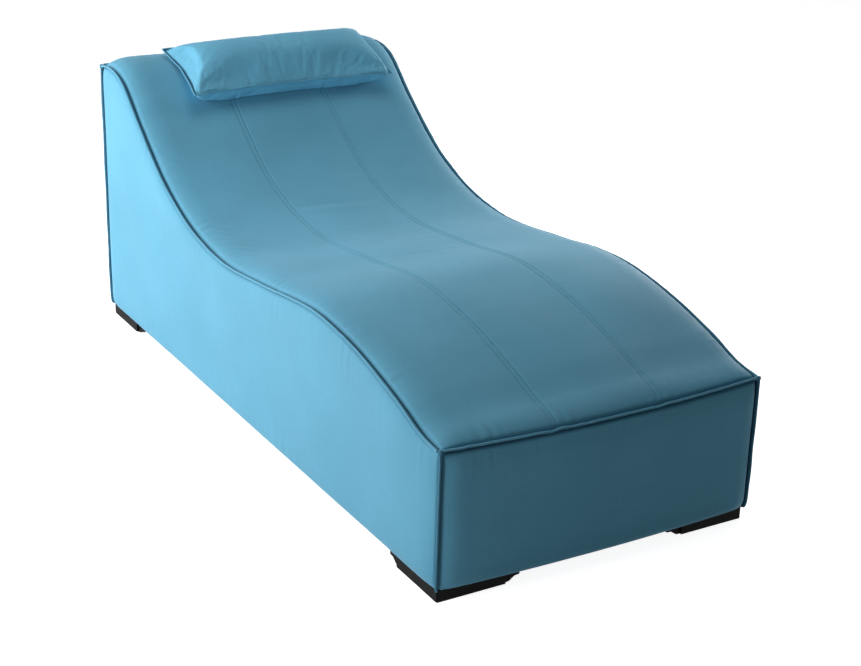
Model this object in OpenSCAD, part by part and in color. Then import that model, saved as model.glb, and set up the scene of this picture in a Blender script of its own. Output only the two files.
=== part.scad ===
// Spa relaxation lounger with a loose head pillow, in millimetres.
// The floor is z = 0, the foot end faces -Y and the head end faces +Y.
// Every curved piece follows one side profile, which is drawn once below.

/* [Body] */
// Width between the two long edge seams
body_w = 750; // [680:10:820]
// Length between the foot-end and head-end seams
body_l = 1700; // [1560:10:1860]
// Height of the foot-end seam
foot_end_h = 322; // [300:2:350]
// Height of the hump under the knees
knee_h = 422; // [410:2:450]
// Height of the hollow of the seat
seat_h = 379; // [360:1:390]
// Height of the crest behind the head
crest_h = 676; // [620:2:730]
// Drop of the edge seam from the crest to the head-end corner
head_drop = 8; // [4:1:16]

/* [Upholstery] */
// Thickness of the cover fabric with its backing
cover_t = 1.2; // [0.8:0.1:2]
// Foam on the deck, square to the profile
seat_foam_t = 60; // [45:1:75]
// Foam pads on the sides and the ends, at the seams
side_foam_t = 12; // [9:1:16]
// How far the padded sides and ends swell past the seams
swell = 10; // [6:1:14]
// How far the tucked bottom edge draws back behind the seams
tuck = 4; // [2:1:6]
// Height over which the bottom edge rounds under
tuck_h = 32; // [24:1:40]
// Height of the rounded shoulder beside the edge seams
shoulder_rise = 19; // [12:1:24]
// Width of the rounded shoulder
shoulder_w = 60; // [50:1:80]
// Extra crown of the lying surface at the middle
crown = 8; // [4:1:14]
// Outward bow of the end seams at the middle
end_bow = 12; // [6:1:18]
// Sag of the end seams at the middle
end_sag = 6; // [3:1:10]
// Length over which the bow and the sag of an end fade out
bow_fade = 150; // [120:5:200]
// Distance of each top-stitched seam from the middle
stitch_x = 127; // [100:1:150]
// Half width of the channel that a top-stitched seam draws in
channel_w = 8; // [6:1:12]
// Depth of that channel
channel_sink = 2; // [1:0.5:3]
// Width of the standing seam flanges
flange_w = 9; // [6:1:12]
// Thickness of the flanges, two folded layers of fabric
flange_t = 4.8; // [3:0.2:6]
// Width of the cover's hem under the frame
hem_w = 30; // [22:1:40]
// Thickness of the dust cover under the frame
dust_t = 0.8; // [0.6:0.1:1.5]
// Distance of the dust cover's edge from the seams
dust_margin = 14; // [10:1:20]

/* [Frame] */
// Plywood of the side panels, the rib and the end boards
ply_t = 15; // [12:1:18]
// Bent plywood of the deck
deck_t = 6; // [4:0.5:8]
// Side of the square deck battens
batten_w = 30; // [24:1:32]
// Height of the base rails
rail_h = 45; // [35:1:60]
// Thickness of the base rails
rail_t = 20; // [16:1:28]
// Distance between neighbouring base rails
rail_pitch = 480; // [380:10:520]
// Side of the corner blocks
block_w = 150; // [145:1:170]
// Height of the corner blocks
block_h = 45; // [40:1:60]
// Room around the battens and rails in the rib's notches
notch_fit = 0.5; // [0.3:0.1:1]

/* [Feet] */
// Height of the feet
foot_h = 26; // [22:1:40]
// Side of a foot on the floor
foot_floor = 157; // [150:1:165]
// How far the raised inner lips of a foot reach past its floor face
foot_flare = 35; // [25:1:40]
// Distance past the floor face at which the lips start to rise
foot_lead = 6; // [3:1:8]
// Setback of the feet behind the seams
foot_inset = 2; // [1:1:6]
// Step from the outer faces of a foot to its lips
foot_step = 5; // [3:1:8]
// Wall of a foot
foot_wall = 3; // [2:0.5:4]
// Thickness of the ribs in a foot
foot_rib_t = 2.4; // [1.6:0.2:3]
// Radius of the outermost corner of a foot
foot_r = 4; // [2:1:8]
// Cut across the inner corner of a foot
foot_cut = 60; // [40:1:80]
// Distance of the first screw from the outer faces of a foot
foot_screw_in = 50; // [45:1:58]
// Distance between the screws of a foot
foot_screw_pitch = 62; // [54:1:66]
// Diameter of the screw bosses
boss_d = 16; // [14:1:18]

/* [Screws] */
// Shank of the foot screws
foot_screw_d = 5; // [4:0.5:6]
// Head of the foot screws
foot_screw_head_d = 10; // [9:0.5:11]
// Height of that head
foot_screw_head_h = 3.5; // [2.5:0.5:4]
// Plastic between the head and the top of the foot
foot_screw_seat = 9; // [6:1:12]
// Length of the foot screws under the head
foot_screw_l = 40; // [32:1:44]
// Shank of the frame screws
frame_screw_d = 4.5; // [4:0.5:5]
// Countersunk head of the frame screws
frame_screw_head_d = 9; // [8:0.5:10]
// Length of the frame screws
frame_screw_l = 45; // [35:1:60]
// Radial clearance round every screw
screw_fit = 0.1; // [0.05:0.05:0.3]

/* [Pillow] */
// Width of the pillow between its seams
pillow_w = 545; // [480:5:580]
// Distance of the pillow from the middle, as it lies in use
pillow_x = 32; // [0:1:40]
// Depth of the pillow between its seams
pillow_d = 210; // [185:5:230]
// Rise of the pillow over its seam plane
pillow_rise = 64; // [45:1:72]
// Depth of the pillow under its seam plane
pillow_under = 58; // [46:1:66]
// Height of the front seam over the lying surface
pillow_front_lift = 52; // [42:1:58]
// Height of the back seam over the lying surface
pillow_back_lift = 17; // [15:1:26]
// How far the middle of each pillow edge draws in
pillow_draw = 12; // [6:1:16]
// Width of the pillow's seam flange
pillow_flange = 8; // [6:1:10]
// Thickness of each half of the hook-and-loop tape
tape_t = 1.1; // [0.8:0.1:1.6]

/* [Hidden] */

// Clearance between two curved layers
lay = 0.3;
// Clearance between two covers where they are sewn
sewn_gap = 0.3;
// How far a flange stops short of a corner
flange_trim = 2.5;
// Overrun of every cut
over = 1;
// Faces of round parts
round_faces = 48;
left = -1;
right = 1;
foot_end = -1;
head_end = 1;

blue = [0.33, 0.62, 0.72];
blue_dark = [0.22, 0.47, 0.57];
foam_colour = [0.93, 0.90, 0.78];
ply_colour = [0.80, 0.66, 0.46];
pine_colour = [0.86, 0.74, 0.54];
black = [0.07, 0.07, 0.08];
steel = [0.70, 0.71, 0.73];

half_w = body_w / 2;
half_l = body_l / 2;
// Outer faces of the frame
frame_x = half_w - side_foam_t - cover_t - 2 * lay;
frame_y = half_l - side_foam_t - cover_t - 2 * lay;
// Heights of the hem, the frame and the bottom edge of the pads
hem_z = foot_h + dust_t;
frame_z = hem_z + cover_t + lay;
inner_x = frame_x - ply_t;
inner_y = frame_y - ply_t;

// Side profile: stations as shares of the length, heights as shares between the named heights
knot_shares = [0, 0.03, 0.09, 0.16, 0.285, 0.44, 0.575, 0.675, 0.77, 0.853, 0.923, 0.974, 1];
thigh_rise_shares = [0, 0.055, 0.385, 0.71, 1];
seat_fall_share = 0.40;
back_rise_shares = [0.085, 0.31, 0.645, 0.95, 1];
end_turn_share = 1.5;
knot_y = [for (k = knot_shares) (k - 0.5) * body_l];
knot_z = concat(
    [for (k = thigh_rise_shares) foot_end_h + k * (knee_h - foot_end_h)],
    [seat_h + seat_fall_share * (knee_h - seat_h), seat_h],
    [for (k = back_rise_shares) seat_h + k * (crest_h - seat_h)],
    [crest_h - head_drop]
);
last = len(knot_y) - 1;
run = [for (i = [0 : last - 1]) knot_y[i + 1] - knot_y[i]];
chord = [for (i = [0 : last - 1]) (knot_z[i + 1] - knot_z[i]) / run[i]];
tangent = [for (i = [0 : last])
    i == 0 ? chord[0]
    : i == last ? end_turn_share * chord[last - 1]
    : (run[i] * chord[i - 1] + run[i - 1] * chord[i]) / (run[i - 1] + run[i])];

function knot_before(y, i = 0) = (i >= last - 1 || y < knot_y[i + 1]) ? i : knot_before(y, i + 1);
function profile_z(y) =
    let (i = knot_before(y), t = (y - knot_y[i]) / run[i])
    (2 * t * t * t - 3 * t * t + 1) * knot_z[i]
    + (t * t * t - 2 * t * t + t) * run[i] * tangent[i]
    + (3 * t * t - 2 * t * t * t) * knot_z[i + 1]
    + (t * t * t - t * t) * run[i] * tangent[i + 1];
function profile_slope(y) =
    let (i = knot_before(y), t = (y - knot_y[i]) / run[i])
    (6 * t * t - 6 * t) * (knot_z[i] - knot_z[i + 1]) / run[i]
    + (3 * t * t - 4 * t + 1) * tangent[i]
    + (3 * t * t - 2 * t) * tangent[i + 1];
// Upward normal of the profile as [y, z]
function profile_n(y) = let (s = profile_slope(y)) [-s, 1] / sqrt(1 + s * s);

// Rise of the rounded shoulder at a distance from a seam, from 0 to 1
function shoulder(e) = e >= shoulder_w ? 1 : sqrt(1 - pow(1 - max(e, 0) / shoulder_w, 2));
// Share that is left of a middle bow at a place across the body
function across(x) = 1 - pow(min(abs(x) / half_w, 1), 2);
function fade(f) = f >= bow_fade ? 0 : pow(1 - f / bow_fade, 2);
// Height of the lying surface over the seam profile, with the two sewn channels
function crown_at(x, y) =
    let (rise = shoulder(half_w - abs(x)) * shoulder(half_l - abs(y)),
         dip = max(0, 1 - abs(abs(x) - stitch_x) / channel_w))
    rise * (shoulder_rise + crown * across(x) - channel_sink * dip);
// Point of the lying surface, lifted by a distance square to the profile
function top_point(x, y, lift = 0) =
    let (n = profile_n(y), c = crown_at(x, y) + lift, share = fade(half_l - abs(y)) * across(x))
    [x, y + n[0] * c + sign(y) * end_bow * share, profile_z(y) + n[1] * c - end_sag * share];
// Station whose surface point lies over a floor point, found in a few turns
function station_of(x, y, s, turns = 4) =
    turns == 0 ? s : station_of(x, y, s - top_point(x, s)[1] + y, turns - 1);
// Height of the lying surface over a floor point
function surface_z(x, y) = top_point(x, station_of(x, y, y))[2];

// Stations along the length and columns across the width, shared by all layers
step_shares = [0, 0.23, 0.58, 1];
station_shares = [0.08, 0.13, 0.18, 0.23, 0.285, 0.34, 0.40, 0.46, 0.52, 0.575, 0.62, 0.66, 0.70,
    0.74, 0.775, 0.805, 0.835, 0.862, 0.885, 0.90, 0.93];
steps = step_shares * shoulder_w;
stations = concat(
    [for (s = steps) s - half_l],
    [for (k = station_shares) (k - 0.5) * body_l],
    [for (i = [3 : -1 : 0]) half_l - steps[i]]
);
last_station = len(stations) - 1;
frame_stations = concat(
    [-frame_y],
    [for (i = [2 : last_station - 2]) stations[i]],
    [frame_y]
);
last_frame = len(frame_stations) - 1;
mid_share = 0.5;
outer_columns = concat(
    [for (s = steps) half_w - s],
    [(half_w - shoulder_w) * mid_share + stitch_x * mid_share, stitch_x + channel_w]
);
inner_columns = [stitch_x - channel_w, stitch_x * mid_share - channel_w * mid_share];
left_columns = concat([for (x = outer_columns) -x], [-stitch_x - sewn_gap / 2]);
centre_columns = concat(
    [sewn_gap / 2 - stitch_x],
    [for (x = inner_columns) -x],
    [for (i = [1, 0]) inner_columns[i]],
    [stitch_x - sewn_gap / 2]
);
right_columns = [for (i = [6 : -1 : 0]) -left_columns[i]];
end_columns = concat(
    [for (x = outer_columns) -x],
    [-stitch_x],
    [for (i = [1 : 4]) centre_columns[i]],
    [stitch_x],
    [for (i = [5 : -1 : 0]) outer_columns[i]]
);
foam_edge_columns = [frame_x, half_w - steps[2], half_w - shoulder_w, stitch_x, inner_columns[1]];
foam_columns = concat([for (x = foam_edge_columns) -x], [for (i = [4 : -1 : 0]) foam_edge_columns[i]]);

// Rows down the sides, from the seam to the bottom edge, and their swell as a share
row_swell_shares = [0, 0.6, 1, 1, 0.6, 0];
row_drop_share = 0.75;
tuck_share = 0.3;
bottom_row = len(row_swell_shares) - 1;
hem_row = bottom_row + 1;
function row_z(top, row) = [
    top,
    top - steps[1],
    top - row_drop_share * shoulder_w,
    hem_z + tuck_h,
    hem_z + tuck_share * tuck_h,
    hem_z
][row];
// How far a row stands out, which grows over a shoulder's width from an upright corner seam
function row_out(row, from_corner = shoulder_w) =
    swell * row_swell_shares[row] * shoulder(from_corner) - (row == bottom_row ? tuck : 0);

// Closed solid between an inner and an outer grid of points. Each cell is split along the
// diagonal that bulges outwards. Grids that run the other way round are mirrored.
module slab(inner, outer, mirrored = false) {
    a = mirrored ? outer : inner;
    b = mirrored ? inner : outer;
    rows = len(a);
    cols = len(a[0]);
    count = rows * cols;
    function at(r, c) = r * cols + c;
    function bulges(r, c) =
        let (bend = outer[r][c] + outer[r + 1][c + 1] - outer[r][c + 1] - outer[r + 1][c])
        bend * (outer[r][c] - inner[r][c] + outer[r + 1][c + 1] - inner[r + 1][c + 1]) >= 0;
    cells = [for (r = [0 : rows - 2], c = [0 : cols - 2])
        let (p = at(r, c), q = at(r, c + 1), s = at(r + 1, c + 1), t = at(r + 1, c))
        each bulges(r, c) ? [[p, s, t], [p, q, s]] : [[p, q, t], [q, s, t]]];
    rim = concat(
        [for (c = [0 : cols - 2]) [at(0, c), at(0, c + 1)]],
        [for (r = [0 : rows - 2]) [at(r, cols - 1), at(r + 1, cols - 1)]],
        [for (c = [cols - 1 : -1 : 1]) [at(rows - 1, c), at(rows - 1, c - 1)]],
        [for (r = [rows - 1 : -1 : 1]) [at(r, 0), at(r - 1, 0)]]
    );
    polyhedron(
        points = concat([for (r = a) each r], [for (r = b) each r]),
        faces = concat(
            cells,
            [for (f = cells) [count + f[0], count + f[2], count + f[1]]],
            [for (e = rim) each [[e[0], count + e[1], e[1]], [e[0], count + e[0], count + e[1]]]]
        )
    );
}

// Line of a layer that lies a depth under the seam profile, with upright ends at the frame
function layer_point(y, depth) =
    let (n = profile_n(y)) [y - n[0] * depth, profile_z(y) - n[1] * depth];
function layer_line(depth) = [for (i = [0 : last_frame])
    let (y = frame_stations[i], p = layer_point(y, depth))
    (i == 0 || i == last_frame) ? [y, p[1] + profile_slope(y) * (y - p[0])] : p];
deck_top = seat_foam_t;
deck_under = seat_foam_t + deck_t;
frame_top = deck_under + lay;

// Extrudes a side view (y, z) across the width from x = from over a thickness
module side_view(from, thickness) {
    translate([from, 0, 0]) rotate([90, 0, 90]) linear_extrude(thickness) children();
}

module under_profile(depth, end) {
    intersection() {
        polygon(concat([[frame_y, frame_z], [-frame_y, frame_z]], layer_line(depth)));
        translate([-end, 0]) square([2 * end, crest_h]);
    }
}

// Each deck batten sits under the chord of the deck that holds its share of the length
batten_shares = [0.105, 0.2575, 0.43, 0.5475, 0.68, 0.79, 0.848, 0.94];
function chord_at(y, i = 0) = y < frame_stations[i + 1] ? i : chord_at(y, i + 1);
batten_chords = [for (k = batten_shares) chord_at((k - 0.5) * body_l)];
deck_line = layer_line(frame_top);
module at_batten(i) {
    a = deck_line[i];
    b = deck_line[i + 1];
    translate((a + b) / 2) rotate(atan2(b[1] - a[1], b[0] - a[0])) children();
}
module batten_section(room) {
    translate([-batten_w / 2 - room, -batten_w - room])
        square([batten_w + 2 * room, batten_w + room + over * sign(room)]);
}

rail_places = [-rail_pitch, 0, rail_pitch];
module rail_section(room) {
    translate([-rail_t / 2 - room, frame_z - over * sign(room)])
        square([rail_t + 2 * room, rail_h + room + over * sign(room)]);
}

// Screws through the side panels: into the battens, the rails and the end boards
board_screw_shares = [0.3, 0.7];
function board_h(end) = (end == foot_end ? deck_line[0][1] : deck_line[last_frame][1]) - frame_z;
frame_screw_places = concat(
    [for (i = batten_chords)
        let (a = deck_line[i], b = deck_line[i + 1], m = (a + b) / 2, t = (b - a) / norm(b - a))
        m + [t[1], -t[0]] * batten_w / 2],
    [for (y = rail_places) [y, frame_z + rail_h / 2]],
    [for (end = [foot_end, head_end], k = board_screw_shares)
        [end * (frame_y - ply_t / 2), frame_z + block_h / 2 + k * board_h(end)]]
);
module frame_screw(room) {
    head_h = (frame_screw_head_d - frame_screw_d) / 2;
    cylinder(d = frame_screw_d + 2 * room, h = frame_screw_l + room, $fn = round_faces);
    cylinder(d1 = frame_screw_head_d + 2 * room, d2 = frame_screw_d + 2 * room, h = head_h,
        $fn = round_faces);
}
module all_frame_screws(side, room = 0) {
    for (p = frame_screw_places)
        translate([side * frame_x, p[0], p[1]]) rotate([0, -90 * side, 0]) frame_screw(room);
}
module screw_holes() {
    all_frame_screws(left, screw_fit);
    all_frame_screws(right, screw_fit);
}

module side_panel(side) {
    color(ply_colour) difference() {
        side_view(side == left ? -frame_x : inner_x, ply_t) under_profile(frame_top, frame_y);
        all_frame_screws(side, screw_fit);
    }
}

module centre_rib() {
    color(ply_colour) side_view(-ply_t / 2, ply_t) difference() {
        under_profile(frame_top, inner_y);
        for (i = batten_chords) at_batten(i) batten_section(notch_fit);
        for (y = rail_places) translate([y, 0]) rail_section(notch_fit);
    }
}

module end_board(end) {
    color(ply_colour) difference() {
        side_view(-inner_x, 2 * inner_x) intersection() {
            under_profile(frame_top, frame_y);
            translate([end == foot_end ? -frame_y : inner_y, 0]) square([ply_t, crest_h]);
        }
        screw_holes();
    }
}

module base_rails() {
    color(pine_colour) difference() {
        for (y = rail_places) side_view(-inner_x, 2 * inner_x) translate([y, 0]) rail_section(0);
        screw_holes();
    }
}

module deck_battens() {
    color(pine_colour) difference() {
        for (i = batten_chords) side_view(-inner_x, 2 * inner_x) at_batten(i) batten_section(0);
        screw_holes();
    }
}

module corner_blocks() {
    color(pine_colour) difference() {
        for (x = [left, right], y = [foot_end, head_end])
            translate([x * (inner_x - block_w / 2), y * (inner_y - block_w / 2), frame_z + block_h / 2])
                cube([block_w, block_w, block_h], center = true);
        all_foot_screws(screw_fit);
    }
}

module curved_deck() {
    top_line = layer_line(deck_top);
    under_line = layer_line(deck_under);
    color(ply_colour) side_view(-frame_x, 2 * frame_x)
        polygon(concat(under_line, [for (i = [last_frame : -1 : 0]) top_line[i]]));
}

module seat_foam() {
    line = layer_line(deck_top - lay);
    function top(x, i) =
        let (p = top_point(x, frame_stations[i], -cover_t - lay))
        (i == 0 || i == last_frame) ? [x, frame_stations[i], p[2]] : p;
    color(foam_colour) slab(
        [for (i = [0 : last_frame]) [for (x = foam_columns) [x, line[i][0], line[i][1]]]],
        [for (i = [0 : last_frame]) [for (x = foam_columns) top(x, i)]]
    );
}

// Rows of the pads follow the rows of the covers
pad_reach = half_w - cover_t - lay;
pad_drop = cover_t + 3 * lay;
function pad_z(top, row) =
    row == 0 ? top - pad_drop : row == bottom_row ? frame_z : row_z(top, row);

module side_foam(side) {
    function outer(i, row) =
        let (y = frame_stations[i])
        [side * (pad_reach + row_out(row, half_l - abs(y))), y, pad_z(profile_z(y), row)];
    function inner(i, row) =
        let (p = top_point(side * (frame_x + lay), frame_stations[i], -pad_drop))
        row == 0 ? [p[0], max(-frame_y, min(frame_y, p[1])), p[2]]
        : [side * (frame_x + lay), frame_stations[i], outer(i, row)[2]];
    color(foam_colour) slab(
        [for (row = [0 : bottom_row]) [for (i = [0 : last_frame]) inner(i, row)]],
        [for (row = [0 : bottom_row]) [for (i = [0 : last_frame]) outer(i, row)]],
        side == right
    );
}

// Height and distance of an end seam at a place across the body
function end_seam_z(end, x) = profile_z(end * half_l) - end_sag * across(x);
function end_seam_y(x) = half_l + end_bow * across(x);

module end_foam(end) {
    function pad_x(k, row) = abs(k) < half_w ? k : sign(k) * (pad_reach + row_out(max(row, 0), 0));
    function shoulder_row(k) =
        let (p = top_point(k, end * frame_y, -pad_drop))
        [pad_x(k, 0), end * max(end * p[1], frame_y + 2 * lay), p[2]];
    function outer(k, row) = row < 0 ? shoulder_row(k)
        : [pad_x(k, row),
            end * (end_seam_y(k) - cover_t - lay + row_out(row, half_w - abs(k))),
            pad_z(end_seam_z(end, k), row)];
    function inner(k, row) =
        let (p = outer(k, row))
        [p[0], end * (frame_y + lay), p[2]];
    color(foam_colour) slab(
        [for (row = [-1 : bottom_row]) [for (k = end_columns) inner(k, row)]],
        [for (row = [-1 : bottom_row]) [for (k = end_columns) outer(k, row)]],
        end == foot_end
    );
}

// A strip of the top cover; its sewn edges are cut at a slant on the sides that are asked for
module top_cover(columns, from_side, to_side) {
    last_column = len(columns) - 1;
    function shift(c, i) = [
        (c == 0 && from_side) ? 1 : (c == last_column && to_side) ? -1 : 0,
        i == 0 ? 1 : i == last_station ? -1 : 0
    ];
    function outer(i, c) =
        let (s = shift(c, i)) top_point(columns[c], stations[i]) + sewn_gap / 2 * [s[0], s[1], 0];
    function inner(i, c) =
        let (n = profile_n(stations[i]), s = shift(c, i))
        outer(i, c) + cover_t * [s[0], s[1] - n[0], -n[1]];
    color(blue) slab(
        [for (i = [0 : last_station]) [for (c = [0 : last_column]) inner(i, c)]],
        [for (i = [0 : last_station]) [for (c = [0 : last_column]) outer(i, c)]]
    );
}

// Side cover: rows down the side, and one that turns under as the hem
module side_cover(side) {
    function turn(i) = i == 0 ? 1 : i == last_station ? -1 : 0;
    function outer(i, row) = row == hem_row
        ? [side * (half_w - hem_w),
            stations[i] * (half_l - hem_w) / half_l + turn(i) * sewn_gap, hem_z]
        : [side * (half_w + row_out(row, half_l - abs(stations[i]))),
            stations[i] - turn(i) * (row_out(row, 0) - sewn_gap / 2),
            row_z(profile_z(stations[i]), row) - (row == 0 ? sewn_gap / 2 : 0)];
    function inward(i, row) =
        let (n = profile_n(stations[i]))
        row == 0 ? [-side, turn(i) - n[0], -n[1]]
        : row == hem_row ? [0, turn(i), 1]
        : [-side, turn(i), row == bottom_row ? 1 : 0];
    color(blue) slab(
        [for (row = [0 : hem_row]) [for (i = [0 : last_station])
            outer(i, row) + cover_t * inward(i, row)]],
        [for (row = [0 : hem_row]) [for (i = [0 : last_station]) outer(i, row)]],
        side == right
    );
}

module end_cover(end) {
    last_column = len(end_columns) - 1;
    function turn(c) = c == 0 ? 1 : c == last_column ? -1 : 0;
    function outer(c, row) = let (k = end_columns[c]) row == hem_row
        ? [k * (half_w - hem_w) / half_w + turn(c) * sewn_gap, end * (half_l - hem_w), hem_z]
        : [k - turn(c) * (row_out(row, 0) - sewn_gap / 2),
            end * (end_seam_y(k) + row_out(row, half_w - abs(k))),
            row_z(end_seam_z(end, k), row) - (row == 0 ? sewn_gap / 2 : 0)];
    function inward(c, row) =
        row == 0 ? [turn(c), -end, -1]
        : row == hem_row ? [turn(c), 0, 1]
        : [turn(c), -end, row == bottom_row ? 1 : 0];
    color(blue) slab(
        [for (row = [0 : hem_row]) [for (c = [0 : last_column])
            outer(c, row) + cover_t * inward(c, row)]],
        [for (row = [0 : hem_row]) [for (c = [0 : last_column]) outer(c, row)]],
        end == foot_end
    );
}

// Standing flange along a path of [point, outward direction]. It grows from its sewn root to
// its full thickness, as folded fabric does.
flange_root = flange_t / 2 + 2 * lay;
flange_reaches = [lay, flange_root, flange_w];
flange_halves = [lay, flange_t / 2, flange_t / 2];
module flange(path) {
    last_p = len(path) - 1;
    function square_to(i) =
        let (t = cross(path[i][1], path[min(i + 1, last_p)][0] - path[max(i - 1, 0)][0]))
        t / norm(t);
    function face(way) = [for (i = [0 : last_p]) [for (k = [0 : 2])
        path[i][0] + flange_reaches[k] * path[i][1] + way * flange_halves[k] * square_to(i)]];
    color(blue_dark) slab(face(-1), face(1));
}
diagonal = sqrt(0.5);

module edge_seam(side) {
    flange([for (i = [0 : last_station])
        let (trim = i == 0 ? flange_trim : i == last_station ? -flange_trim : 0,
             y = stations[i] + trim, n = profile_n(y))
        [[side * half_w, y, profile_z(y)], diagonal * [side, n[0], n[1]]]]);
}

module end_seam(end) {
    last_column = len(end_columns) - 1;
    flange([for (c = [0 : last_column])
        let (k = end_columns[c] + (c == 0 ? flange_trim : c == last_column ? -flange_trim : 0))
        [[k, end * end_seam_y(k), end_seam_z(end, k)], diagonal * [0, end, 1]]]);
}

module corner_seams() {
    drop = flange_trim + flange_t;
    function out(row) = row_out(row, 0);
    for (side = [left, right], end = [foot_end, head_end])
        flange([for (row = [0 : bottom_row])
            [[side * (half_w + out(row)), end * (half_l + out(row)),
                row_z(profile_z(end * half_l), row) - (row == 0 ? drop : 0)],
                diagonal * [side, end, 0]]]);
}

module dust_cover() {
    color(black) difference() {
        translate([dust_margin - half_w, dust_margin - half_l, foot_h])
            cube([2 * (half_w - dust_margin), 2 * (half_l - dust_margin), dust_t]);
        all_foot_screws(screw_fit);
    }
}

// Feet, drawn with the outermost corner at the origin and the lips towards +x and +y.
// A lip rises from the floor in a soft curve, runs on level and ends upright.
screw_steps = [foot_screw_in, foot_screw_in + foot_screw_pitch];
lip_run_shares = [0, 0.2, 0.42, 0.62, 1, 1];
lip_rise_shares = [0, 0.05, 0.24, 0.38, 0.42, 1];
module lip_section(inset, wall) {
    polygon(concat(
        [[inset, foot_h + wall], [inset, wall]],
        [for (i = [0 : len(lip_run_shares) - 1])
            [foot_floor + foot_lead + lip_run_shares[i] * (foot_flare - foot_lead) - wall,
                lip_rise_shares[i] * foot_h + wall]]
    ));
}
module lips(inset, wall) {
    reach = foot_floor + foot_flare;
    intersection() {
        rotate([90, 0, 0]) mirror([0, 0, 1]) linear_extrude(reach) lip_section(inset, wall);
        mirror([1, -1, 0]) rotate([90, 0, 0]) mirror([0, 0, 1]) linear_extrude(reach)
            lip_section(inset, wall);
        linear_extrude(2 * foot_h) inner_corner(reach, wall);
    }
}
module inner_corner(reach, wall) {
    polygon([[0, 0], [reach, 0], [reach, reach - foot_cut - wall], [reach - foot_cut - wall, reach],
        [0, reach]]);
}
module core_plan(inset) {
    width = foot_floor - 2 * inset;
    translate([inset + foot_r, inset]) square([width - foot_r, width]);
    translate([inset, inset + foot_r]) square([width, width - foot_r]);
    translate([inset + foot_r, inset + foot_r]) circle(r = foot_r, $fn = round_faces);
}
module foot_screw_hole() {
    cylinder(d = foot_screw_d + 2 * screw_fit, h = foot_h + over, $fn = round_faces);
    translate([0, 0, -over])
        cylinder(d = foot_screw_head_d + 2 * screw_fit, h = foot_h - foot_screw_seat + over,
            $fn = round_faces);
}
module foot_shape() {
    difference() {
        union() {
            difference() {
                union() {
                    linear_extrude(foot_h) core_plan(0);
                    lips(foot_step, 0);
                }
                translate([0, 0, foot_wall]) linear_extrude(foot_h) core_plan(foot_wall);
                lips(foot_step + foot_wall, foot_wall);
            }
            for (a = screw_steps) {
                translate([a - foot_rib_t / 2, foot_wall, foot_wall / 2])
                    cube([foot_rib_t, foot_floor - 2 * foot_wall, foot_h - foot_wall / 2]);
                translate([foot_wall, a - foot_rib_t / 2, foot_wall / 2])
                    cube([foot_floor - 2 * foot_wall, foot_rib_t, foot_h - foot_wall / 2]);
            }
            for (a = screw_steps, b = screw_steps) translate([a, b, foot_wall / 2])
                cylinder(d = boss_d, h = foot_h - foot_wall / 2, $fn = round_faces);
        }
        for (a = screw_steps, b = screw_steps) translate([a, b, 0]) foot_screw_hole();
    }
}

// Places a corner piece in one of the four corners of the body
module at_corner(side, end) {
    mirror([side == right ? 1 : 0, 0, 0]) mirror([0, end == head_end ? 1 : 0, 0])
        translate([foot_inset - half_w, foot_inset - half_l, 0]) children();
}
module foot(side, end) {
    color(black) at_corner(side, end) foot_shape();
}

module foot_screw(room) {
    cylinder(d = foot_screw_d + 2 * room, h = foot_screw_l + room, $fn = round_faces);
    translate([0, 0, -foot_screw_head_h])
        cylinder(d = foot_screw_head_d, h = foot_screw_head_h, $fn = round_faces);
}
module all_foot_screws(room = 0) {
    for (side = [left, right], end = [foot_end, head_end]) at_corner(side, end)
        for (a = screw_steps, b = screw_steps)
            translate([a, b, foot_h - foot_screw_seat]) foot_screw(room);
}

module foot_screws() {
    color(steel) all_foot_screws();
}

module frame_screws() {
    color(steel) {
        all_frame_screws(left);
        all_frame_screws(right);
    }
}

// Hook-and-loop tape across the centre strip, under the pillow
tape_shares = [0.885, 0.90];
module tape(from) {
    color(black) slab(
        [for (k = tape_shares) [for (x = centre_columns)
            top_point(x, (k - 0.5) * body_l, from)]],
        [for (k = tape_shares) [for (x = centre_columns)
            top_point(x, (k - 0.5) * body_l, from + tape_t)]]
    );
}

// Pillow: a seam plane over the lying surface, from its front seam to its back seam
pillow_mid_share = 0.907;
pillow_run_share = 0.88;
pillow_mid_y = (pillow_mid_share - 0.5) * body_l;
pillow_front = top_point(pillow_x, pillow_mid_y - pillow_d * pillow_run_share / 2);
pillow_back = top_point(pillow_x, pillow_mid_y + pillow_d * pillow_run_share / 2);
pillow_tilt = atan2(pillow_back[2] - pillow_front[2], pillow_back[1] - pillow_front[1])
    - asin((pillow_front_lift - pillow_back_lift) / pillow_d);
pillow_n = [0, -sin(pillow_tilt), cos(pillow_tilt)];
pillow_t = [0, cos(pillow_tilt), sin(pillow_tilt)];
pillow_c = (pillow_front + pillow_back) / 2 + pillow_n * (pillow_front_lift + pillow_back_lift) / 2;
pillow_gap = 2 * tape_t + 4 * lay;

u_shares = [-1, -0.95, -0.86, -0.7, -0.45, -0.15, 0.15, 0.45, 0.7, 0.86, 0.95, 1];
v_shares = [-1, -0.88, -0.6, -0.2, 0.2, 0.6, 0.88, 1];
// Fullness of the pillow, 0 on its seam and 1 in the middle
function fullness(u, v) = sqrt(max(0, 1 - u * u * u * u)) * sqrt(max(0, 1 - v * v));
// Place on the seam plane, with the edges drawn in between the corners
function pillow_at(u, v, ring_u, ring_v, h) =
    pillow_c
    + [u * (pillow_w / 2 - pillow_draw * (1 - v * v)) + ring_u * pillow_flange, 0, 0]
    + pillow_t * (v * (pillow_d / 2 - pillow_draw * (1 - u * u)) + ring_v * pillow_flange)
    + pillow_n * h;
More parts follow.
